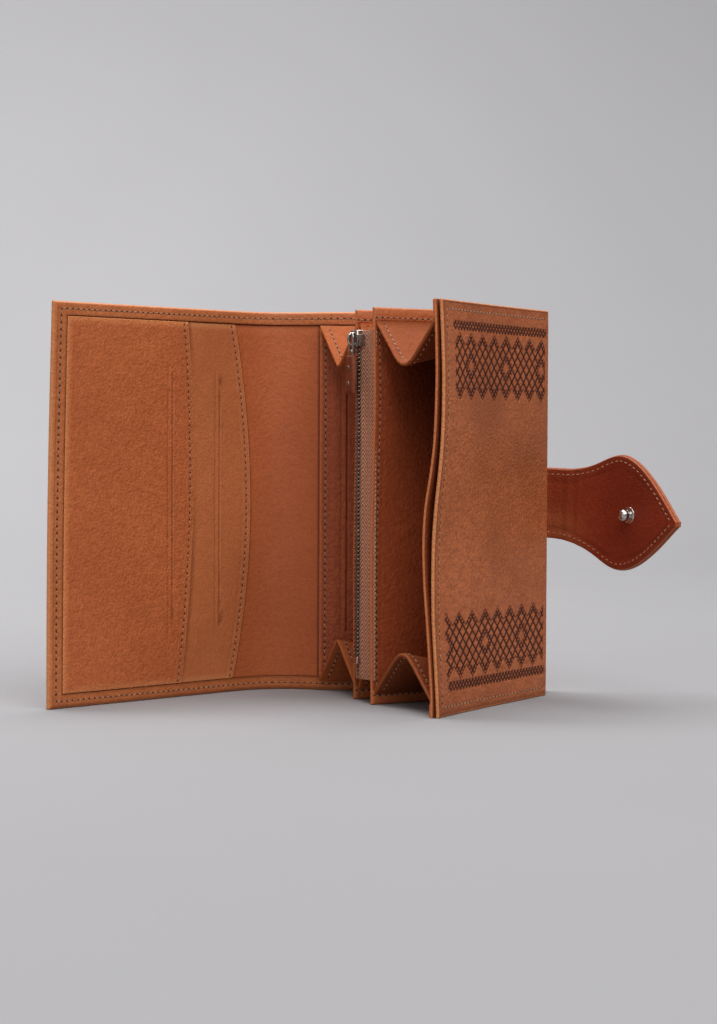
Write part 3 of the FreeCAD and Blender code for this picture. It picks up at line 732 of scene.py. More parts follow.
# Painted shade in the slit gap and in the crease beside it.
def slit_shade(at, z0, z1):
    def f(a, b):
        inside = smoothstep(z0 - 0.4, z0 + 0.4, b) * (1 - smoothstep(z1 - 0.4, z1 + 0.4, b))
        d = a - at
        return np.clip(inside * (0.75 * np.exp(-(d / 0.24) ** 4) + 0.4 * np.exp(-((d - 2.3) / 0.24) ** 2)), 0, 1)
    return f


def slit_cols(at):
    return [at + k for k in (-2.5, -2.2, -2.0, -1.4, -1.0, -0.6, -0.36, -0.25, -0.1, 0, 0.1, 0.25, 0.36, 0.6, 1.0, 1.4, 1.9, 2.1, 2.3, 2.5, 2.7)]


def slit_rows(z0, z1):
    return [z0 - 2.5, z0 - 1.5, z0 - 0.4, z0, z0 + 0.4, z1 - 0.4, z1, z1 + 0.4, z1 + 1.5, z1 + 2.5]


SZ0, SZ1 = 22.8, 120.6


def edge_fold(at, sign, a):
    """Turned mouth edge with the crease beside it."""
    d = (a - at) * sign
    return groove(3.9, 0.35, 0.14, d) - 0.1 * np.exp(-((d - 2.1) / 0.5) ** 2) + 0.12 * np.exp(-((d - 0.9) / 0.6) ** 2)


# flap pockets
cu = slit_h(A_FLAP0 + 12.6, SZ0, SZ1)
curved = Slab(cover_surf(0.68), curve_left, lambda b: free_edge(b) - RIMF - 0.2, RIM + 0.2, TALL - RIM - 0.2, 0.62, flip=-1.0, step=2.4, bstep=2.4,
              front=lambda a, b: cu(a, b) + edge_fold(0, 1, a - np.vectorize(curve_left)(b)) * 0.8, extra_a=slit_cols(A_FLAP0 + 12.6) + [curve_left(72.5) + k for k in (0.9, 1.3, 1.6, 2.0, 2.4, 2.8, 3.3, 3.6, 3.9, 4.2, 4.6)], extra_b=slit_rows(SZ0, SZ1))
def beside(edge_fn):
    """Painted shadow line in the crease where a pocket mouth lies on the sheet below."""
    f = np.vectorize(edge_fn)
    return lambda a, b: 0.75 * np.exp(-((f(b) - a - 0.15) / 0.42) ** 2) * ((b > 5) & (b < 140))


def large_left(b):
    return A_FLAP0 + 25.7 + (3.0 * ((b - 84) / 55.0) ** 2 if b > 84 else 6.1 * ((84 - b) / 79.0) ** 2)


# Painted shade in the slit and painted shadow line beside the large pocket's edge.
sw_c, sw_l = slit_shade(A_FLAP0 + 12.6, SZ0, SZ1), beside(large_left)
o = curved.build("card_pocket_curved", m_curved, "pocket_leather", painted_shade_and_crease=lambda a, b: np.clip(sw_c(a, b) + sw_l(a, b), 0, 1))
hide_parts("flap_pocket_curved")
ride_or_blend(o, HB)
zz = np.linspace(6.2, TALL - 6.2, 60)
stitch_on(curved, "HB", [(curve_left(z) + 2.0, z) for z in zz])


def large_left(b):
    return A_FLAP0 + 25.7 + (3.0 * ((b - 84) / 55.0) ** 2 if b > 84 else 6.1 * ((84 - b) / 79.0) ** 2)


lg = slit_h(A_FLAP0 + 36.4, SZ0, SZ1)
large = Slab(cover_surf(1.24), large_left, lambda b: free_edge(b) - RIMF - 0.2, RIM + 0.2, TALL - RIM - 0.2, 0.7, flip=-1.0, step=2.2, bstep=2.4,
             front=lambda a, b: lg(a, b) + edge_fold(0, 1, a - np.vectorize(large_left)(b)) * 0.7, extra_a=slit_cols(A_FLAP0 + 36.4) + [large_left(72.5) + k for k in (0.9, 1.3, 1.6, 2.0, 2.4, 2.8, 3.3, 3.6, 3.9, 4.2, 4.6)], extra_b=slit_rows(SZ0, SZ1))
# Painted shade in the slit and its crease.
o = large.build("card_pocket_large", m_pocket, "pocket_leather", painted_shade_and_crease=slit_shade(A_FLAP0 + 36.4, SZ0, SZ1))
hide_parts("flap_pocket_large")
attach(o, "flap")
stitch_on(large, "flap", [(large_left(z) + 2.0, z) for z in zz])

# back card pocket: mouth edge at plan x = 0
bp = slit_h(84.5 - 10.4, SZ0, SZ1)
cardb = Slab(wall_surf(BACKW, -0.9), const(1.0), const(84.5), RIM + 0.3, TALL - RIM - 0.3, 0.8, flip=-1.0, step=2.6, bstep=2.6,
             front=lambda a, b: bp(a, b) + edge_fold(84.5, -1, a), extra_a=slit_cols(84.5 - 10.4) + [80.2, 80.6, 81.0, 81.6, 82.0, 82.3, 82.6, 83.0, 83.4], extra_b=slit_rows(SZ0, SZ1))
# Painted shade in the slit and its crease.
o = cardb.build("card_pocket_back", m_wall, "pocket_leather", painted_shade_and_crease=slit_shade(84.5 - 10.4, SZ0, SZ1))
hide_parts("back_card_pocket")
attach(o, "back")
stitch_on(cardb, "back", [(84.5 - 2.2, z) for z in zz])

# deep end binding
arc = lambda r, a0, a1, n: [(84.5 + r * math.cos(R(a)), -12.4 + r * math.sin(R(a))) for a in np.linspace(a0, a1, n)]
line_s = np.array([(85.22, y) for y in np.linspace(3.0, -12.2, 24)] + arc(0.72, -4, -50, 8))
len_s = np.concatenate([[0], np.cumsum(np.linalg.norm(np.diff(line_s, axis=0), axis=1))])


def strip_surf(a, b):
    return np.stack([np.interp(a, len_s, line_s[:, 0]) - OX, np.interp(a, len_s, line_s[:, 1]) - OY, b + 0 * a], -1)


strip = Slab(strip_surf, const(0.0), const(len_s[-1] - 0.05), 0, TALL, 1.4, flip=1.0, step=1.2, bstep=4, round_a=(True, False),
             front=lambda a, b: groove(2.6, 0.4, 0.1, np.minimum(b, TALL - b)) + 0 * a)
if strip.normal(np.array([5.0]), np.array([50.0]))[0][0] < 0:
    strip.flip = -1.0
o = strip.build("deep_end_binding", m_outer, "outer_leather")
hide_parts("base_strip")
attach(o, "back")


# ------------------------------------------------------------------ walls of the zip pocket
def seam_border(extra=0.7, mouth=None):
    def f(a, b, top=TALL):
        d = np.minimum(b, top - b)
        k = 1 - smoothstep(4.6, 5.2, d)
        h = extra * k - 0.1 * np.exp(-((np.where(b < top / 2, b - 3.4, top - b - 3.8)) / 0.5) ** 2)
        if mouth is not None:
            dm = mouth - a
            h = h - 0.12 * np.exp(-((dm - 2.1) / 0.5) ** 2) - 0.1 * np.exp(-((dm - 4.0) / 0.3) ** 2)
        return h
    return f


def zbow(sign):
    def f(a, b):
        k = np.clip(a / 74.5, 0, 1) ** 2
        return sign * k * (1.3 * np.exp(-((b - 110) / 24) ** 2) - 1.2 * np.exp(-((b - 45) / 34) ** 2))
    return f


for nm, wall, node, body, vis in (("zip_wall_left", ZIPL, "zip_wall_left", "zip_left", 0), ("zip_wall_right", ZIPR, "zip_wall_right", "zip_right", 1)):
    sb = seam_border(0.55, 75.2)
    sl = Slab(wall_surf(wall, 0.0, zbow(0.8)), const(1.0), const(75.4), 0, 144.2, 1.3, flip=1.0, step=2.2, bstep=2.4,
              front=lambda a, b, sb=sb: sb(a, b, 144.2), back=lambda a, b, sb=sb: sb(a, b, 144.2),
              extra_b=[4.4, 4.6, 4.9, 5.2, 5.6, 3.4, 2.9, 3.9, 144.2 - 4.4, 144.2 - 4.9, 144.2 - 5.2, 144.2 - 4.1, 144.2 - 3.8, 144.2 - 3.3], extra_a=[75.2 - x for x in (1.6, 2.1, 2.6, 3.7, 4.0, 4.3)])
    # Painted shade: the wall darkens towards the deep end on both faces, and on the back face across most of the upper
    # half.
    o = sl.build(nm + "_leather", m_wall, "lining_leather", tint=lambda a, b: 0.55 * (1 - smoothstep(4.4, 5.0, np.minimum(b, 144.2 - b))) + 0 * a,
                 painted_shade_and_crease=lambda a, b: 0.3 * (1 - smoothstep(12, 66, a)) * smoothstep(3, 9, np.minimum(b, 144.2 - b)),
                 painted_shade_back=lambda a, b: (0.52 * (1 - smoothstep(34, 72, a)) + 0.75 * (1 - smoothstep(58, 73.5, a)) * smoothstep(70, 118, b)) * smoothstep(4, 10, np.minimum(b, 144.2 - b)))
    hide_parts(node)
    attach(o, body)
    for side in (1, -1):
        stitch_on(sl, body, [(75.2 - 2.2, 6), (75.2 - 2.2, 138.5)], side)
        stitch_on(sl, body, [(3, 3.4), (74.5, 3.4)], side)
        stitch_on(sl, body, [(3, 144.2 - 3.8), (74.5, 144.2 - 3.8)], side)
    if vis:
        zipr_slab = sl
    else:
        zipl_slab = sl

# ------------------------------------------------------------------ front panel
PEAK = 9.5
BAND = [(122.2, 1, 62.4), (24.0, -1, 48.4)]


def lines(u, z, p, w):
    d1 = np.abs((((u + z) / p) + 0.5) % 1 - 0.5) * p / math.sqrt(2)
    d2 = np.abs((((u - z) / p) + 0.5) % 1 - 0.5) * p / math.sqrt(2)
    return 1 - smoothstep(w * 0.5 - 0.12, w * 0.5 + 0.16, np.minimum(d1, d2))


def stamp(u, z):
    out = np.zeros(np.shape(u))
    for zc, sg, C0 in BAND:
        dz = z - zc
        du = (u - C0 + PEAK / 2) % PEAK - PEAK / 2
        env = (np.abs(dz) + np.abs(du) < 11.9) & (u < 75.6 + (1.6 if sg < 0 else 0.0)) & (u > 2.2)
        uc = (u - C0 + 1.5 * PEAK) % (3 * PEAK) - 1.5 * PEAK
        rad = np.abs(uc) + np.abs(dz)
        coarse = lines(u - C0, dz, PEAK / 2, 0.86)
        dense = lines(u - C0, dz, PEAK / 4, 0.7)
        tip = np.abs(dz) + np.abs(du) * 0.2 > 7.9
        ringd = (rad > 2.5) & (rad < 6.4)
        val = np.where(tip | ringd, np.maximum(dense, coarse), coarse)
        val = np.where(rad <= 2.5, 0.0, val)
        out = np.maximum(out, np.where(env, val, 0))
        zb = zc + sg * 14.0
        db = z - zb
        small = lines(u, db, 2.375, 0.74)
        out = np.maximum(out, np.where((np.abs(db) < 1.6) & (u < 76.6) & (u > 1.8), small, 0))
    return out


Z_K = [0, 6, 20, 34, 46, 58, 66, 74, 84, 94, 105, 120, 135, 145]
OUT_K = [1.8, 1.5, 0.6, -0.3, -0.5, -0.4, 0.0, 0.7, 1.9, 2.9, 3.4, 3.4, 2.8, 2.2]
IN_K = [1.4, 1.5, 0.5, -0.6, -1.7, -2.2, -2.0, -1.3, 0.6, 2.0, 2.6, 2.9, 2.5, 2.0]
Z_D = np.linspace(-10, 155, 331)
soft = np.hanning(25)
soft /= soft.sum()
OUT_D = np.convolve(np.pad(np.interp(Z_D, Z_K, OUT_K), 12, mode="edge"), soft, "valid")
IN_D = np.convolve(np.pad(np.interp(Z_D, Z_K, IN_K), 12, mode="edge"), soft, "valid")


def inner_bow(a, b):
    k = np.clip(a / 86.2, 0, 1)
    return np.interp(b, Z_D, IN_D) * k ** 3 - 0.75


def outer_bow(a, b):
    k = np.clip(a / 84.6, 0, 1)
    return np.interp(b, Z_D, OUT_D) * k ** 3 + 0.75


def pull_in(a, b, mouth):
    d = np.minimum(np.minimum(b, TALL - b), mouth - a)
    return -0.13 * np.exp(-((d - 3.3) / 0.55) ** 2) - 0.14 * np.exp(-((d - 0.95) / 0.28) ** 2)


inner = Slab(wall_surf(FRONT, 0, inner_bow), const(1.3), const(86.3), 0, TALL, 0.95, flip=-1.0, step=2.4, bstep=2.6,
             back=lambda a, b: 0.5 * (1 - smoothstep(4.6, 5.2, np.minimum(b, TALL - b))), extra_b=[3.4, 4.4, 4.9, 5.2, TALL - 3.4, TALL - 4.4, TALL - 4.9, TALL - 5.2])
# Painted shade: the panel's face is darkened right up to a thin strip at the mouth edge.
o = inner.build("front_panel_inner", m_wall, "lining_leather", painted_shade_and_crease=lambda a, b: 0.95 * (1 - smoothstep(85.7, 86.05, a)))
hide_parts("front_inner")
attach(o, "front")
stitch_on(inner, "front", [(84.0, 4), (84.0, 141)], -1)
step_f = 0.41
rows_f = list(np.arange(6.2, 37.2, step_f)) + list(np.arange(107.8, 138.8, step_f))
cols_f = list(np.arange(1.9, 77.2, step_f))
flat_front = wall_surf(FRONT, 0, outer_bow)


def front_surf(a, b):
    """The front leather rolls round the deep edge about the panel's own fold."""
    a, b = np.asarray(a, float), np.asarray(b, float)
    F0 = flat_front(np.maximum(a, 0.0), b)
    ang = np.clip(-a, 0, None) / 0.75
    piv, d, n = plan(FRONT[0], FRONT[1]), hd(FRONT[2]), nrm(FRONT[2])
    P = piv + (n * np.cos(ang)[..., None] - d * np.sin(ang)[..., None]) * 0.75 + np.stack([0 * a, 0 * a, b + 0 * a], -1)
    return np.where((a < 0)[..., None], P, F0)


outer = Slab(front_surf, const(-1.0), const(85.2), 0, TALL, 1.5, flip=-1.0, step=3.0, bstep=4.0,
             front=lambda a, b: pull_in(a, b, 85.2) - 0.26 * stamp(a, b), extra_b=rows_f + [0.7, 0.95, 1.2, 2.8, 3.3, 3.8, TALL - 0.7, TALL - 0.95, TALL - 1.2, TALL - 2.8, TALL - 3.3, TALL - 3.8],
             extra_a=cols_f + [-0.8, -0.6, -0.4, -0.2, 0, 0.3, 0.8] + [85.2 - x for x in (0.7, 0.95, 1.2, 2.8, 3.3, 3.8)], round_a=(False, True))
o = outer.build("front_panel_outer", m_front, "outer_leather", stamp=stamp,
                painted_shade_and_crease=lambda a, b: 0.6 * np.exp(-((np.minimum(np.minimum(b, TALL - b), 85.2 - a) - 0.95) / 0.3) ** 2))
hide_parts("front_outer")
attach(o, "front")
stitch_on(outer, "front", [(3.0, TALL - 3.3), (85.2 - 3.3, TALL - 3.3), (85.2 - 3.3, 3.3), (3.0, 3.3)], 1)


# ------------------------------------------------------------------ gussets
def corner(c, p, q2, r, n=7):
    p, c, q2 = map(np.asarray, (p, c, q2))
    a = c + unit(p - c) * min(r, np.linalg.norm(p - c) * 0.9)
    b = c + unit(q2 - c) * min(r, np.linalg.norm(q2 - c) * 0.9)
    t = np.linspace(0, 1, n)[:, None]
    return (1 - t) ** 2 * a + 2 * (1 - t) * t * c + t * t * b


def gusset(name, A, ya, la, Bw, yb, lb, apex, bodyA, bodyB, rad, faceA, faceB, end):
    top = end == "top"
    zl = TALL - 6.9 if top else 5.0
    zf = TALL - apex if top else apex
    D = wp(A, 0, ya, zl)
    MA, MB = wp(A, la, ya, zl), wp(Bw, lb, yb, zl)
    lift_b = 0.0 if name != "front" else (2.1 if top else 1.5)
    F = (MA + MB) / 2 + (unit(MB - MA) * 0.9 if name == "front" else 0.0)
    F[2] = zf + {"front": (-4.6, 2.6), "back": (-1.2, 0.6), "zip": (0.0, 0.0)}[name][0 if top else 1]
    A0, A1 = wp(A, 0, faceA, zl + (0.8 if top else -0.8)), wp(A, la + 0.6, faceA, zl + (0.8 if top else -0.8))
    B0, B1 = wp(Bw, 0, faceB, zl + (0.8 if top else -0.8)), wp(Bw, lb + 0.6, faceB + lift_b, zl + (0.8 if top else -0.8))
    F1 = F + unit(F - D) * 0.6
    nq = 31

    def section(p):
        a, b, f = A0 + (A1 - A0) * p, B0 + (B1 - B0) * p, D + (F1 - D) * p
        mid = corner(f, a, b, rad * p + 0.2, 9)
        left = np.linspace(0, 1, 12)[:-1, None] * (mid[0] - a) + a
        right = np.linspace(0, 1, 12)[1:, None] * (b - mid[-1]) + mid[-1]
        return np.concatenate([left, mid, right])
    ps = np.linspace(0.10, 1.0, 40)
    grid = np.array([section(p) for p in ps])
    seg = np.linalg.norm(np.diff(grid, axis=1), axis=2)
    width = seg.sum(1)
    qn = np.linspace(-1, 1, grid.shape[1])
    L = np.linalg.norm(F1 - D)

    def surf(a, b):
        # a: -1..1 across, b: millimetres along from the deep end
        p = np.clip(b / L, 0.0, 1.02)
        out = np.zeros(np.shape(a) + (3,))
        pa = np.interp(p, ps, np.arange(len(ps)))
        pi = np.clip(pa.astype(int), 0, len(ps) - 2)
        pf = pa - pi
        ext = np.clip(p - 1.0, 0, None)
        qa = np.interp(np.clip(a / 30.0, -1, 1), qn, np.arange(len(qn)))
        qi = np.clip(qa.astype(int), 0, len(qn) - 2)
        qf = qa - qi
        g = grid
        c = ((1 - pf) * (1 - qf))[..., None] * g[pi, qi] + (pf * (1 - qf))[..., None] * g[pi + 1, qi] \
            + ((1 - pf) * qf)[..., None] * g[pi, qi + 1] + (pf * qf)[..., None] * g[pi + 1, qi + 1]
        return c
    sl = Slab(surf, const(-30.0), const(30.0), 0.11 * L, L * 0.999, 1.3, flip=1.0, step=2.0, bstep=2.6,
              extra_b=[L - x for x in (0.4, 1.5, 2.4, 3.0, 3.6)], round_a=(False, False), round_b=(False, True),
              front=lambda a, b: -0.08 * np.exp(-((L - b - 3.0) / 0.5) ** 2))
    n_mid = sl.normal(np.array([-12.0]), np.array([L * 0.8]))[0]
    outside = 1.0 if top else -1.0
    if n_mid[2] * outside < 0:
        sl.flip = -1.0
    # Painted shade: the gussets darken towards the deep end, most on the bottom of the front gusset.
    deep = (0.85 if name == "front" else 0.4) if end == "bottom" else 0.5
    o = sl.build("gusset_%s_%s" % (name, end), m_gusset_front if name == "front" else m_gusset, "gusset_leather", painted_shade_and_crease=lambda a, b: np.clip(deep * (1 - b / L) ** 1.2 + 0 * a, 0, 1))
    a_body, b_body = "gusset_%s_%s_a" % (name, end), "gusset_%s_%s_b" % (name, end)
    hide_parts(a_body, b_body)
    perp = unit(MB - MA)
    fold = unit(F - D)
    perp = unit(perp - fold * np.dot(perp, fold))
    w = max(2.2, rad * 0.8)
    c = D + fold * L * 0.7
    how = (a_body, b_body, c - perp * w, c + perp * w)
    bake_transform(o)
    key = "G_%s_%s" % (name, end)
    BLENDS[key] = how
    for side in (1, -1):
        P, N = sl.top(np.linspace(-27.5, 27.5, 90), np.full(90, L - 3.0), 0.0, side)
        stitch(key, P, N, 2.5, 0.28)
    return sl


BLENDS = {"HA": HA, "HB": HB}
for end in ("top", "bottom"):
    gusset("back", BACKW, 1.5, 84.0, ZIPL, -2.1, 74.0, 20.5, "back", "zip_left", 2.0, 0.3, -0.6, end)
    gusset("zip", ZIPL, 2.1, 73.4, ZIPR, -2.1, 73.4, 18.0, "zip_left", "zip_right", 1.6, 0.6, -0.6, end)
    gusset("front", ZIPR, 2.1, 74.0, FRONT, -2.5, 83.6, 20.5, "zip_right", "front", 9.0, 0.6, -1.2, end)


# ------------------------------------------------------------------ zip
def tape_slab(base, target, name, body, node, side_sign):
    d = unit(target - base)
    n = np.array([-d[1], d[0], 0.0])
    L = np.linalg.norm(target - base)

    def surf(a, b):
        sag = 0.35 * np.sin(np.pi * np.clip(a / L, 0, 1)) * side_sign
        return base + a[..., None] * d + sag[..., None] * n + np.stack([0 * a, 0 * a, b + 0 * a], -1)

    def cord(a, b):
        return 0.32 * np.exp(-((a - (L - 2.3)) / 0.45) ** 2) + 0.1 * np.exp(-((a - (L - 3.6)) / 0.3) ** 2)
    sl = Slab(surf, const(-1.2), const(L - 0.95), 8.6, 136.0, 0.55, step=0.7, bstep=2.0, front=cord, back=cord)
    o = sl.build(name, m_tape, "zip_tape", edge_width=0.3)
    a, b = sl.grid()
    co = np.array([v.co for v in o.data.vertices]) * 1000
    ac = (co - base) @ d
    for k, arr in (("across", ac + 20.0), ("upward", co[:, 2] + 0.0)):
        at = o.data.attributes.new(k, "FLOAT", "POINT")
        at.data.foreach_set("value", arr.astype(np.float32))
    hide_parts(node)
    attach(o, body)
    return sl


tape_slab(ML, TOOTH, "zip_tape_left_weave", "zip_tape_left", "zip_tape_left", 1)
tape_slab(MR, TOOTH, "zip_tape_right_weave", "zip_tape_right", "zip_tape_right", -1)


def chain_frame():
    m = np.eye(4)
    m[:3, 0], m[:3, 1], m[:3, 2], m[:3, 3] = COUT, CACR, (0, 0, 1), TOOTH
    return m


def to_world(m, V):
    V = np.asarray(V, float)
    return V @ m[:3, :3].T + m[:3, 3]


def bevel_mesh(bm, width, seg=2):
    bmesh.ops.bevel(bm, geom=list(bm.edges), offset=width, segments=seg, affect="EDGES", profile=0.7)


def prism(outline, h0, h1, holes=None):
    """Closed prism from a 2-D outline (x, y), from h0 to h1 along z."""
    bm = bmesh.new()
    lo = [bm.verts.new((x, y, h0)) for x, y in outline]
    f = bm.faces.new(lo)
    r = bmesh.ops.extrude_face_region(bm, geom=[f])
    vs = [e for e in r["geom"] if isinstance(e, bmesh.types.BMVert)]
    bmesh.ops.translate(bm, verts=vs, vec=(0, 0, h1 - h0))
    bmesh.ops.recalc_face_normals(bm, faces=bm.faces)
    return bm


def bm_arrays(bm):
    bm.verts.index_update()
    return [np.array(v.co) for v in bm.verts], [[v.index for v in f.verts] for f in bm.faces]


class Group:
    def __init__(self):
        self.v, self.f, self.m = [], [], []

    def add(self, V, F, mat=0, place=None):
        base = len(self.v)
        for p in V:
            self.v.append(place(np.asarray(p, float)) if place else np.asarray(p, float))
        for f in F:
            self.f.append([base + i for i in f])
            self.m.append(mat)

    def obj(self, name, mats, slot):
        return add_obj(name, np.array(self.v), self.f, mats, slot, mat_idx=self.m)


CF = chain_frame()


def in_chain(p):
    return CF[:3, :3] @ p + CF[:3, 3]


# teeth: a clenched foot on the cord, a waist and a cupped head that meshes past the centre
bm = prism([(-0.62, -1.9), (0.62, -1.9), (0.66, -1.3), (0.45, -0.9), (0.52, -0.1), (0.42, 0.45), (0.0, 0.62), (-0.42, 0.45),
            (-0.52, -0.1), (-0.45, -0.9), (-0.66, -1.3)], -0.31, 0.31)
bevel_mesh(bm, 0.09, 1)
TV, TF = bm_arrays(bm)
bm.free()
for label, sg, off in (("left", 1, 0.33), ("right", -1, 0.33 + 0.75)):
    g = Group()
    for i in range(77):
        z = 17.0 + off + 1.5 * i
        g.add(TV, TF if sg > 0 else [f[::-1] for f in TF], 0, lambda p, z=z: in_chain(np.array([p[0], p[1] * sg, p[2] + z])))
    o = g.obj("zip_tooth_row_" + label, [m_teeth], "zip_teeth")
    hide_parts("zip_teeth_" + label)
    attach(o, "zip_chain")
for nm, z0, z1 in (("zip_bottom_stop", 14.3, 16.9), ("zip_top_stop", 134.6, 136.2)):
    bm = prism([(-0.95, -2.4), (0.95, -2.4), (0.95, 2.4), (-0.95, 2.4)], z0, z1)
    bevel_mesh(bm, 0.3, 3)
    V, F = bm_arrays(bm)
    bm.free()
    g = Group()
    g.add(V, F, 0, in_chain)
    o = g.obj(nm + "_clip", [m_nickel], "nickel")
    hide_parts(nm)
    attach(o, "zip_chain")

# slider: two shield plates with side flanges, bridge over the front plate
g = Group()
shield = [(-3.2, -3.0), (-4.0, -0.6), (-3.9, 1.4), (-3.2, 3.0), (-1.6, 3.35), (0, 3.0), (1.6, 3.35), (3.2, 3.0), (3.9, 1.4), (4.0, -0.6), (3.2, -3.0), (0, -3.2)]
for h0, h1 in ((1.0, 1.9), (-1.9, -1.0)):
    bm = prism(shield, h0, h1)
    bevel_mesh(bm, 0.22, 2)
    V, F = bm_arrays(bm)
    bm.free()
    g.add(V, F, 0, lambda p: in_chain(np.array([p[2], p[0], p[1] + 133.0])))
for sy in (-1, 1):
    bm = prism([(-1.2, 0), (1.2, 0), (1.2, 0.55), (-1.2, 0.55)], -2.6, 1.6)
    bevel_mesh(bm, 0.15, 2)
    V, F = bm_arrays(bm)
    bm.free()
    g.add(V, F if sy > 0 else [f[::-1] for f in F], 0, lambda p, sy=sy: in_chain(np.array([p[0], sy * (3.4 + p[1]), p[2] + 133.0])))
o = g.obj("slider_shell", [m_slider], "nickel")
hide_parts("slider_body")
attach(o, "zip_slider")


def tube(path, rad, n=10, close=False, squash=1.0, up=(0, 1, 0)):
    path = np.asarray(path, float)
    V, F = [], []
    m = len(path)
    for i in range(m):
        t = unit(path[(i + 1) % m if close else min(i + 1, m - 1)] - path[(i - 1) % m if close else max(i - 1, 0)])
        a = unit(np.cross(t, up))
        b = np.cross(t, a)
        for k in range(n):
            q = 2 * math.pi * k / n
            V.append(path[i] + a * math.cos(q) * rad + b * math.sin(q) * rad * squash)
    for i in range(m if close else m - 1):
        for k in range(n):
            F.append([i * n + k, i * n + (k + 1) % n, ((i + 1) % m) * n + (k + 1) % n, ((i + 1) % m) * n + k])
    if not close:
        F.append(list(range(n))[::-1])
        F.append([(m - 1) * n + k for k in range(n)])
    return V, F


g = Group()
th = np.linspace(-0.08, 1.08, 24) * math.pi
arch = [np.array([1.75 + 2.35 * math.sin(t) ** 0.7 if math.sin(t) > 0 else 1.75, 0, 133 + 2.15 * math.cos(t)]) for t in th]
V, F = tube(arch, 0.34, 10, squash=2.1)
g.add(V, F, 0, in_chain)
o = g.obj("slider_arch", [m_nickel], "nickel")
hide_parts("slider_bridge")
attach(o, "zip_slider")

# pull: wire eye, folded clamp, leather tongue with two rivets
g = Group()
sup = lambda v: math.copysign(abs(v) ** 0.42, v)
eye = [np.array([2.8, 2.15 * sup(math.sin(t)), 130.4 + 4.4 * sup(math.cos(t))]) for t in np.linspace(0, 2 * math.pi, 56, endpoint=False)]
V, F = tube(eye, 0.46, 10, close=True, up=(1, 0, 0))
g.add(V, F, 0, in_chain)
bm = prism([(-2.1, -1.2), (2.1, -1.2), (2.35, -1.9), (2.2, -4.4), (1.6, -4.9), (-1.6, -4.9), (-2.2, -4.4), (-2.35, -1.9)], 2.1, 3.5)
bevel_mesh(bm, 0.25, 2)
V, F = bm_arrays(bm)
bm.free()
g.add(V, F, 0, lambda p: in_chain(np.array([p[2], p[0], p[1] + 130.2])))
o = g.obj("pull_eye_clamp", [m_slider], "nickel")
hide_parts("pull_clamp")
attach(o, "zip_pull")
PZ0 = 133 - 6.4


def pull_w(z):
    k = (PZ0 - z) / 13.0
    return 3.3 + 1.0 * np.sin(np.pi * np.clip(k, 0, 1) * 0.8)


psurf = lambda a, b: in_chain_v(np.stack([2.8 + 0 * a, a, b + 0 * a], -1))


def in_chain_v(P):
    return P @ CF[:3, :3].T + CF[:3, 3]


pull = Slab(psurf, lambda b: -pull_w(b), lambda b: pull_w(b), PZ0 - 13.6, PZ0 + 0.6, 2.2, flip=1.0, step=0.8, bstep=0.8,
            front=lambda a, b: -0.1 * np.exp(-((np.abs(a) - 2.9) / 0.3) ** 2))
o = pull.build("pull_tongue", m_pull, "outer_leather")
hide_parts("pull_strap")
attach(o, "zip_pull")


def lathe(profile, n=40):
    """profile: list of (radius, height); closed at both ends on the axis."""
    V, F = [], []
    ring = []
    for r, hgt in profile:
        if r < 1e-6:
            V.append(np.array([0, 0, hgt]))
            ring.append([len(V) - 1] * n)
        else:
            base = len(V)
            for k in range(n):
                a = 2 * math.pi * k / n
                V.append(np.array([r * math.cos(a), r * math.sin(a), hgt]))
            ring.append(list(range(base, base + n)))
    for i in range(len(profile) - 1):
        for k in range(n):
            f = [ring[i][k], ring[i][(k + 1) % n], ring[i + 1][(k + 1) % n], ring[i + 1][k]]
            f = list(dict.fromkeys(f))
            if len(f) > 2:
                F.append(f)
    return V, F


def placed(origin, axis, up=(0, 0, 1)):
    z = unit(axis)
    x = unit(np.cross(up, z))
    y = np.cross(z, x)
    return lambda p: origin + x * p[0] + y * p[1] + z * p[2]


g = Group()
for zz_ in (PZ0 - 4.2, PZ0 - 10.0):
    for sgn in (1, -1):
        V, F = lathe([(0, 1.5), (0.5, 1.45), (0.85, 1.28), (0.95, 1.05), (0.95, 0.6), (0, 0.6)], 20)
        g.add(V, F, 0, placed(in_chain(np.array([2.8, 0, zz_])), COUT * sgn))
o = g.obj("pull_rivets", [m_teeth], "nickel")
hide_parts("pull_rivet")
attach(o, "zip_pull")

# ------------------------------------------------------------------ closure tab
NECK = ((0, 13.6), (6.0, 13.7), (10.0, 14.0), (14.0, 14.7), (18.0, 15.7), (22.0, 17.2), (25.0, 18.6), (27.76, 19.9), (29.36, 20.5))
END = ((1.6, 21.1), (5.0, 21.7), (7.3, 21.7), (9.6, 21.3), (12.5, 20.5), (15.4, 19.3), (18.3, 17.8), (21.2, 16.0),
       (24.1, 14.0), (27.0, 11.9), (30.0, 9.5), (32.7, 7.2), (35.6, 4.8), (38.0, 2.75), (39.4, 1.7), (40.1, 1.2), (40.6, 0.9))
path_p, path_w = [], []
for x in np.linspace(60, 82, 20):
    path_p.append(plan(x, 4.5, 72.5))
    path_w.append(np.array([0, 0, 1.0]))
pA, pB = plan(82, 4.5, 72.5), TPIV + NX * 6.5
for t in np.linspace(0, 1, 22)[1:-1]:
    path_p.append((1 - t) ** 3 * pA + 3 * (1 - t) ** 2 * t * (pA + [4.6, 0.3, 0]) + 3 * (1 - t) * t * t * (pB - NX * 4.5) + t ** 3 * pB)
    path_w.append(unit(np.array([0, 0, 1.0]) * (1 - t) + NZ * t))
for u in np.linspace(6.5, 23.5, 22):
    path_p.append(TPIV + NX * u)
    path_w.append(NZ)
pC, pD = TPIV + NX * 23.5, WPIV + EX * 6.0
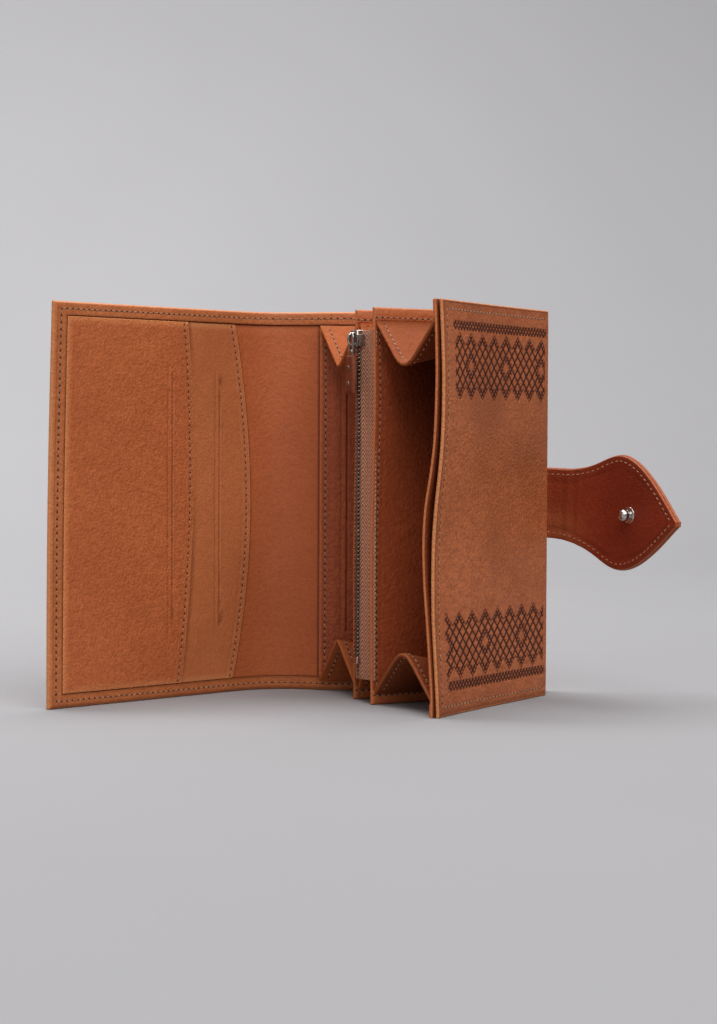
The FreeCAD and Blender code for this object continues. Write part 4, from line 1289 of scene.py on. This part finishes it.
for t in np.linspace(0, 1, 22)[1:-1]:
    path_p.append((1 - t) ** 3 * pC + 3 * (1 - t) ** 2 * t * (pC + NX * 4) + 3 * (1 - t) * t * t * (pD - EX * 4) + t ** 3 * pD)
    path_w.append(NZ)
for u in np.linspace(6.0, 44.0, 30):
    curl = -0.0022 * max(0.0, u - 6) ** 2
    path_p.append(WPIV + EX * u + np.cross(NZ, EX) * curl)
    path_w.append(NZ)
path_p, path_w = np.array(path_p), np.array(path_w)
ts = np.concatenate([[0], np.cumsum(np.linalg.norm(np.diff(path_p, axis=0), axis=1))])
i_root = int(np.argmin(np.linalg.norm(path_p - (TPIV + NX * 6.5), axis=1)))
T_N0 = ts[i_root] - 6.5
i_wr = int(np.argmin(np.linalg.norm(path_p - (WPIV + EX * 6.0), axis=1)))
T_E0 = ts[i_wr] - 6.0
T_MID = T_N0 + 15.0
T_TIP = T_E0 + 40.6


path_t = np.gradient(path_p, ts, axis=0)
path_n = np.cross(path_t, path_w)
path_n /= np.linalg.norm(path_n, axis=1, keepdims=True)
if path_n[0][1] < 0:
    path_n = -path_n          # towards the outside of the closed wallet


def tab_surf(off):
    def f(a, b):
        P = np.stack([np.interp(b, ts, path_p[:, k]) for k in range(3)], -1)
        W = np.stack([np.interp(b, ts, path_w[:, k]) for k in range(3)], -1)
        N = np.stack([np.interp(b, ts, path_n[:, k]) for k in range(3)], -1)
        k = np.clip((b - T_N0) / 20, 0, 1)
        crease = 0.16 * np.sin((b - T_N0) * 1.15 + a * 0.05) * smoothstep(T_N0 + 1, T_N0 + 5, b) * (1 - smoothstep(T_N0 + 12, T_N0 + 19, b))
        return P + W * a[..., None] + N * (off + 0.45 * (a / 21.0) ** 2 * k + crease)[..., None]
    return f


hw_s = np.concatenate([[0.0, 1.5, 3.2], [T_N0 - 2], T_N0 + np.array([x for x, _ in NECK if x > 0]), T_E0 + np.array([x for x, _ in END])])
hw_v = np.concatenate([[11.4, 12.9, 13.5], [13.5], [w for x, w in NECK if x > 0], [w for _, w in END]])
dense = np.linspace(0, T_TIP, 400)
hw_d = np.interp(dense, hw_s, hw_v)
ker = np.hanning(13)
ker /= ker.sum()
hw_s2 = np.convolve(np.pad(hw_d, 6, mode="edge"), ker, "valid")
keep_tip = dense > T_TIP - 3
hw_s2[keep_tip] = hw_d[keep_tip]
hw = lambda b: float(np.interp(b, dense, hw_s2))


def tab_groove(a, b):
    w = np.interp(b, dense, hw_s2)
    e = w - np.abs(a)
    tip = (T_TIP - b) * 0.62
    e = np.minimum(e * 0.86, tip + 0.2)
    st = b - 0.0
    return -0.16 * np.exp(-((e - 2.35) / 0.5) ** 2) - 0.1 * np.exp(-((e - 0.95) / 0.25) ** 2) - 0.1 * np.exp(-((e - 3.9) / 0.35) ** 2)


# Darkened creaser line near the edge and a painted shadow line in the crease inside the stitch row.
def tab_creaser_and_shade(a, b):
    w = np.interp(b, dense, hw_s2)
    e = np.minimum((w - np.abs(a)) * 0.86, (T_TIP - b) * 0.62 + 0.2)
    return np.clip(0.45 * np.exp(-((e - 0.95) / 0.3) ** 2) + 0.4 * np.exp(-((e - 3.9) / 0.4) ** 2), 0, 1)


HR = ("back", "tab_neck", plan(84.0, 4.4, 72.5), TPIV + NX * 6.0)
HW = ("tab_neck", "tab_end", WPIV - NX * 6.0, WPIV + EX * 6.0)
BLENDS["HR"], BLENDS["HW"] = HR, HW
TABS = {}
# Painted highlight on the tab lining, lighter near the root and on one side, carried by the lighter edge colour.
neck_painted_highlight = lambda a, b: 0.8 * (1 - smoothstep(T_N0 + 4, T_N0 + 26, b)) * smoothstep(2.0, 12.0, -a + 4.0) + 0.3 * (1 - smoothstep(T_N0 + 2, T_N0 + 32, b))
for layer, off, thick, mat in (("outer", 0.62, 1.3, m_tab_outer), ("lining", -0.6, 1.15, m_tab)):
    inset = 0.0 if layer == "outer" else 0.25
    gr = tab_groove
    for part, b0, b1, rb2, bst in (("root", 0.0, T_MID, (True, False), 1.4), ("end", T_MID, T_TIP - inset, (False, True), 1.1)):
        sl = Slab(tab_surf(off), lambda b, q=inset: -(hw(b) - q), lambda b, q=inset: hw(b) - q, b0, b1, thick, flip=1.0, step=1.3, bstep=bst,
                  front=gr, back=gr if layer == "outer" else None, round_b=rb2)
        want = 1.0 if layer == "outer" else -1.0
        if sl.normal(np.array([0.0]), np.array([b0 + 8.0]))[0][1] * want < 0:
            sl.flip = -1.0
        sl.front, sl.back = tab_groove, None
        TABS[layer, part] = sl
        o = sl.build("tab_%s_%s" % (part, layer), mat, "outer_leather" if layer == "outer" else "lining_leather", painted_shade_and_crease=tab_creaser_and_shade, edge_width=0.75,
                     tint=neck_painted_highlight if layer == "lining" else None)
        if part == "root":
            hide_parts(*(("tab_anchor", "tab_neck_outer") if layer == "outer" else ("tab_neck_lining",)))
            ride_or_blend(o, HR)
        else:
            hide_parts("tab_end_" + layer)
            ride_or_blend(o, HW)


def tab_line(inset, b_from, b_to, sgn, n=60):
    out = []
    for b in np.linspace(b_from, b_to, n):
        slope = (hw(b + 0.3) - hw(b - 0.3)) / 0.6
        k = math.sqrt(1 + slope * slope)
        out.append((sgn * max(hw(b) - inset * k, 0.12), b))
    return out


for layer in ("outer", "lining"):
    for sgn in (1, -1):
        stitch_on(TABS[layer, "root"], "HR", tab_line(2.4, 3.5, T_MID, sgn))
        stitch_on(TABS[layer, "end"], "HW", tab_line(2.4, T_MID, T_TIP - 3.7, sgn))
stitch_on(TABS["outer", "root"], "HR", [(-10.6, 2.8), (10.6, 2.8)])

# stud, cap and socket
stud_at = WPIV + EX * 12.2
EY = np.cross(NZ, EX)
lin_dir = -EY if (-EY)[1] < 0 else EY
bs = [(0, 1.0), (3.1, 1.0), (3.2, 1.25), (3.0, 1.5), (2.2, 1.72), (1.5, 1.9), (1.3, 2.3), (1.3, 3.0)]
cyb, rb = 1.2 + 4.6 - 2.3, 2.3
a0 = math.asin((3.0 - cyb) / rb) if abs((3.0 - cyb) / rb) < 1 else -1.0
for k in range(15):
    a = -0.95 + (math.pi / 2 + 0.95) * k / 14
    bs.append((max(rb * math.cos(a), 0) if k < 14 else 0.0, cyb + rb * math.sin(a)))
V, F = lathe(bs, 48)
g = Group()
g.add(V, F, 0, placed(stud_at, lin_dir))
o = g.obj("stud_ball", [m_snap], "snap_metal")
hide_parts("stud")
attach(o, "tab_end")
V, F = lathe([(0, 0.9), (4.15, 0.9), (4.25, 1.25), (4.0, 1.7), (3.0, 2.05), (1.6, 2.2), (0, 2.25)], 48)
g = Group()
g.add(V, F, 0, placed(stud_at, -lin_dir))
o = g.obj("stud_cap_dome", [m_snap], "snap_metal")
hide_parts("stud_cap")
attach(o, "tab_end")
sock = wp(FLAP, 85.2, -1.2, 72.5)
V, F = lathe([(2.65, -1.3), (2.65, 1.5), (2.9, 1.85), (3.4, 1.95), (4.3, 1.7), (4.8, 1.0), (4.85, 0.2), (4.7, -0.3), (3.0, -0.5), (3.0, -0.9), (2.65, -1.3)], 48)
g = Group()
g.add(V, F, 0, placed(sock, -nrm(225.3)))
o = g.obj("snap_socket_ring", [m_snap], "snap_metal")
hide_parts("snap_socket", "socket_rivet")
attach(o, "flap")

# ------------------------------------------------------------------ threads
for key, gg in THREADS.items():
    nm = "stitches_" + key
    o = add_obj(nm, np.array(gg["v"]), gg["f"], [m_thread, m_hole], "outer_leather", mat_idx=gg["m"])
    if key in BLENDS:
        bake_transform(o)
    else:
        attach(o, key)

# ------------------------------------------------------------------ floor, light, camera
def stage_mat():
    M = Mat("paper_floor")
    w = M.noise(3.0, 4.0)
    # Painted light falloff: the floor is darkened towards +x, to the right of the wallet.
    sx = M.n("ShaderNodeSeparateXYZ")
    M.l(M.co, sx.inputs[0])
    side = M.math("ADD", M.math("MULTIPLY", sx.outputs[0], 0.9), 0.55)
    painted_falloff = M.ramp(side, [(0.2, (1, 1, 1, 1)), (0.8, (0.85, 0.85, 0.855, 1))])
    tone = M.ramp(w, [(0.3, (0.336, 0.330, 0.338, 1)), (0.7, (0.350, 0.344, 0.353, 1))])
    M.l(M.mix(1.0, tone, painted_falloff, "MULTIPLY"), M.b.inputs["Base Color"])
    M.b.inputs["Roughness"].default_value = 0.9
    M.b.inputs["Specular IOR Level"].default_value = 0.1
    M.bump([(M.noise(900.0, 3.0), 0.0001, 0.15)])
    return M.m


prof = [(-2500, 0), (900, 0)]
for k in range(13):
    a = math.pi / 2 * k / 12
    prof.append((900 + 600 * math.sin(a), 600 - 600 * math.cos(a)))
prof.append((1500, 3500))
V, F = [], []
for y, z in prof:
    V += [np.array([-3500.0, y, z - 0.02]), np.array([3500.0, y, z - 0.02])]
for i in range(len(prof) - 1):
    F.append([2 * i, 2 * i + 1, 2 * i + 3, 2 * i + 2])
floor = add_obj("studio_floor", V, F, stage_mat(), "outer_leather")
if "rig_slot" in floor:
    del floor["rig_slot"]


def area(name, loc, target, size, energy, color=(1, 1, 1)):
    l = bpy.data.lights.new(name, "AREA")
    l.shape = "RECTANGLE"
    l.size, l.size_y = size
    l.energy = energy
    l.color = color
    ob = bpy.data.objects.new(name, l)
    bpy.context.scene.collection.objects.link(ob)
    ob.location = loc
    ob.rotation_euler = (Vector(target) - Vector(loc)).to_track_quat("-Z", "Y").to_euler()
    return ob


area("key_soft", (0.38, -1.0, 1.22), (-0.02, 0, 0.07), (1.2, 1.2), 17.8, (1.0, 0.99, 0.975))
area("top_soft", (-0.15, 0.0, 1.5), (-0.05, 0, 0.05), (1.5, 1.1), 6.5)
area("fill_front", (-0.45, -1.7, 0.9), (0, 0, 0.07), (1.8, 1.4), 5)
area("backdrop_wash", (-0.5, 0.5, 2.1), (-0.7, 1.5, 0.6), (2.8, 0.8), 70)
w = bpy.data.worlds.new("studio")
bpy.context.scene.world = w
w.use_nodes = True
w.node_tree.nodes["Background"].inputs[0].default_value = (0.94, 0.96, 1.0, 1)
w.node_tree.nodes["Background"].inputs[1].default_value = 0.18
bpy.context.scene.view_settings.view_transform = "Standard"

cam = bpy.data.cameras.new("camera")
cam.lens = 80.86
cam.sensor_width = 36
cam.clip_start = 0.01
co = bpy.data.objects.new("camera", cam)
bpy.context.scene.collection.objects.link(co)
co.matrix_world = Matrix.Translation(Vector(plan(14.9, -879.4, 96.55) / 1000)) @ Matrix.Rotation(R(90 - 1.82), 4, "X") @ Matrix.Rotation(R(0.26), 4, "Z")
bpy.context.scene.camera = co
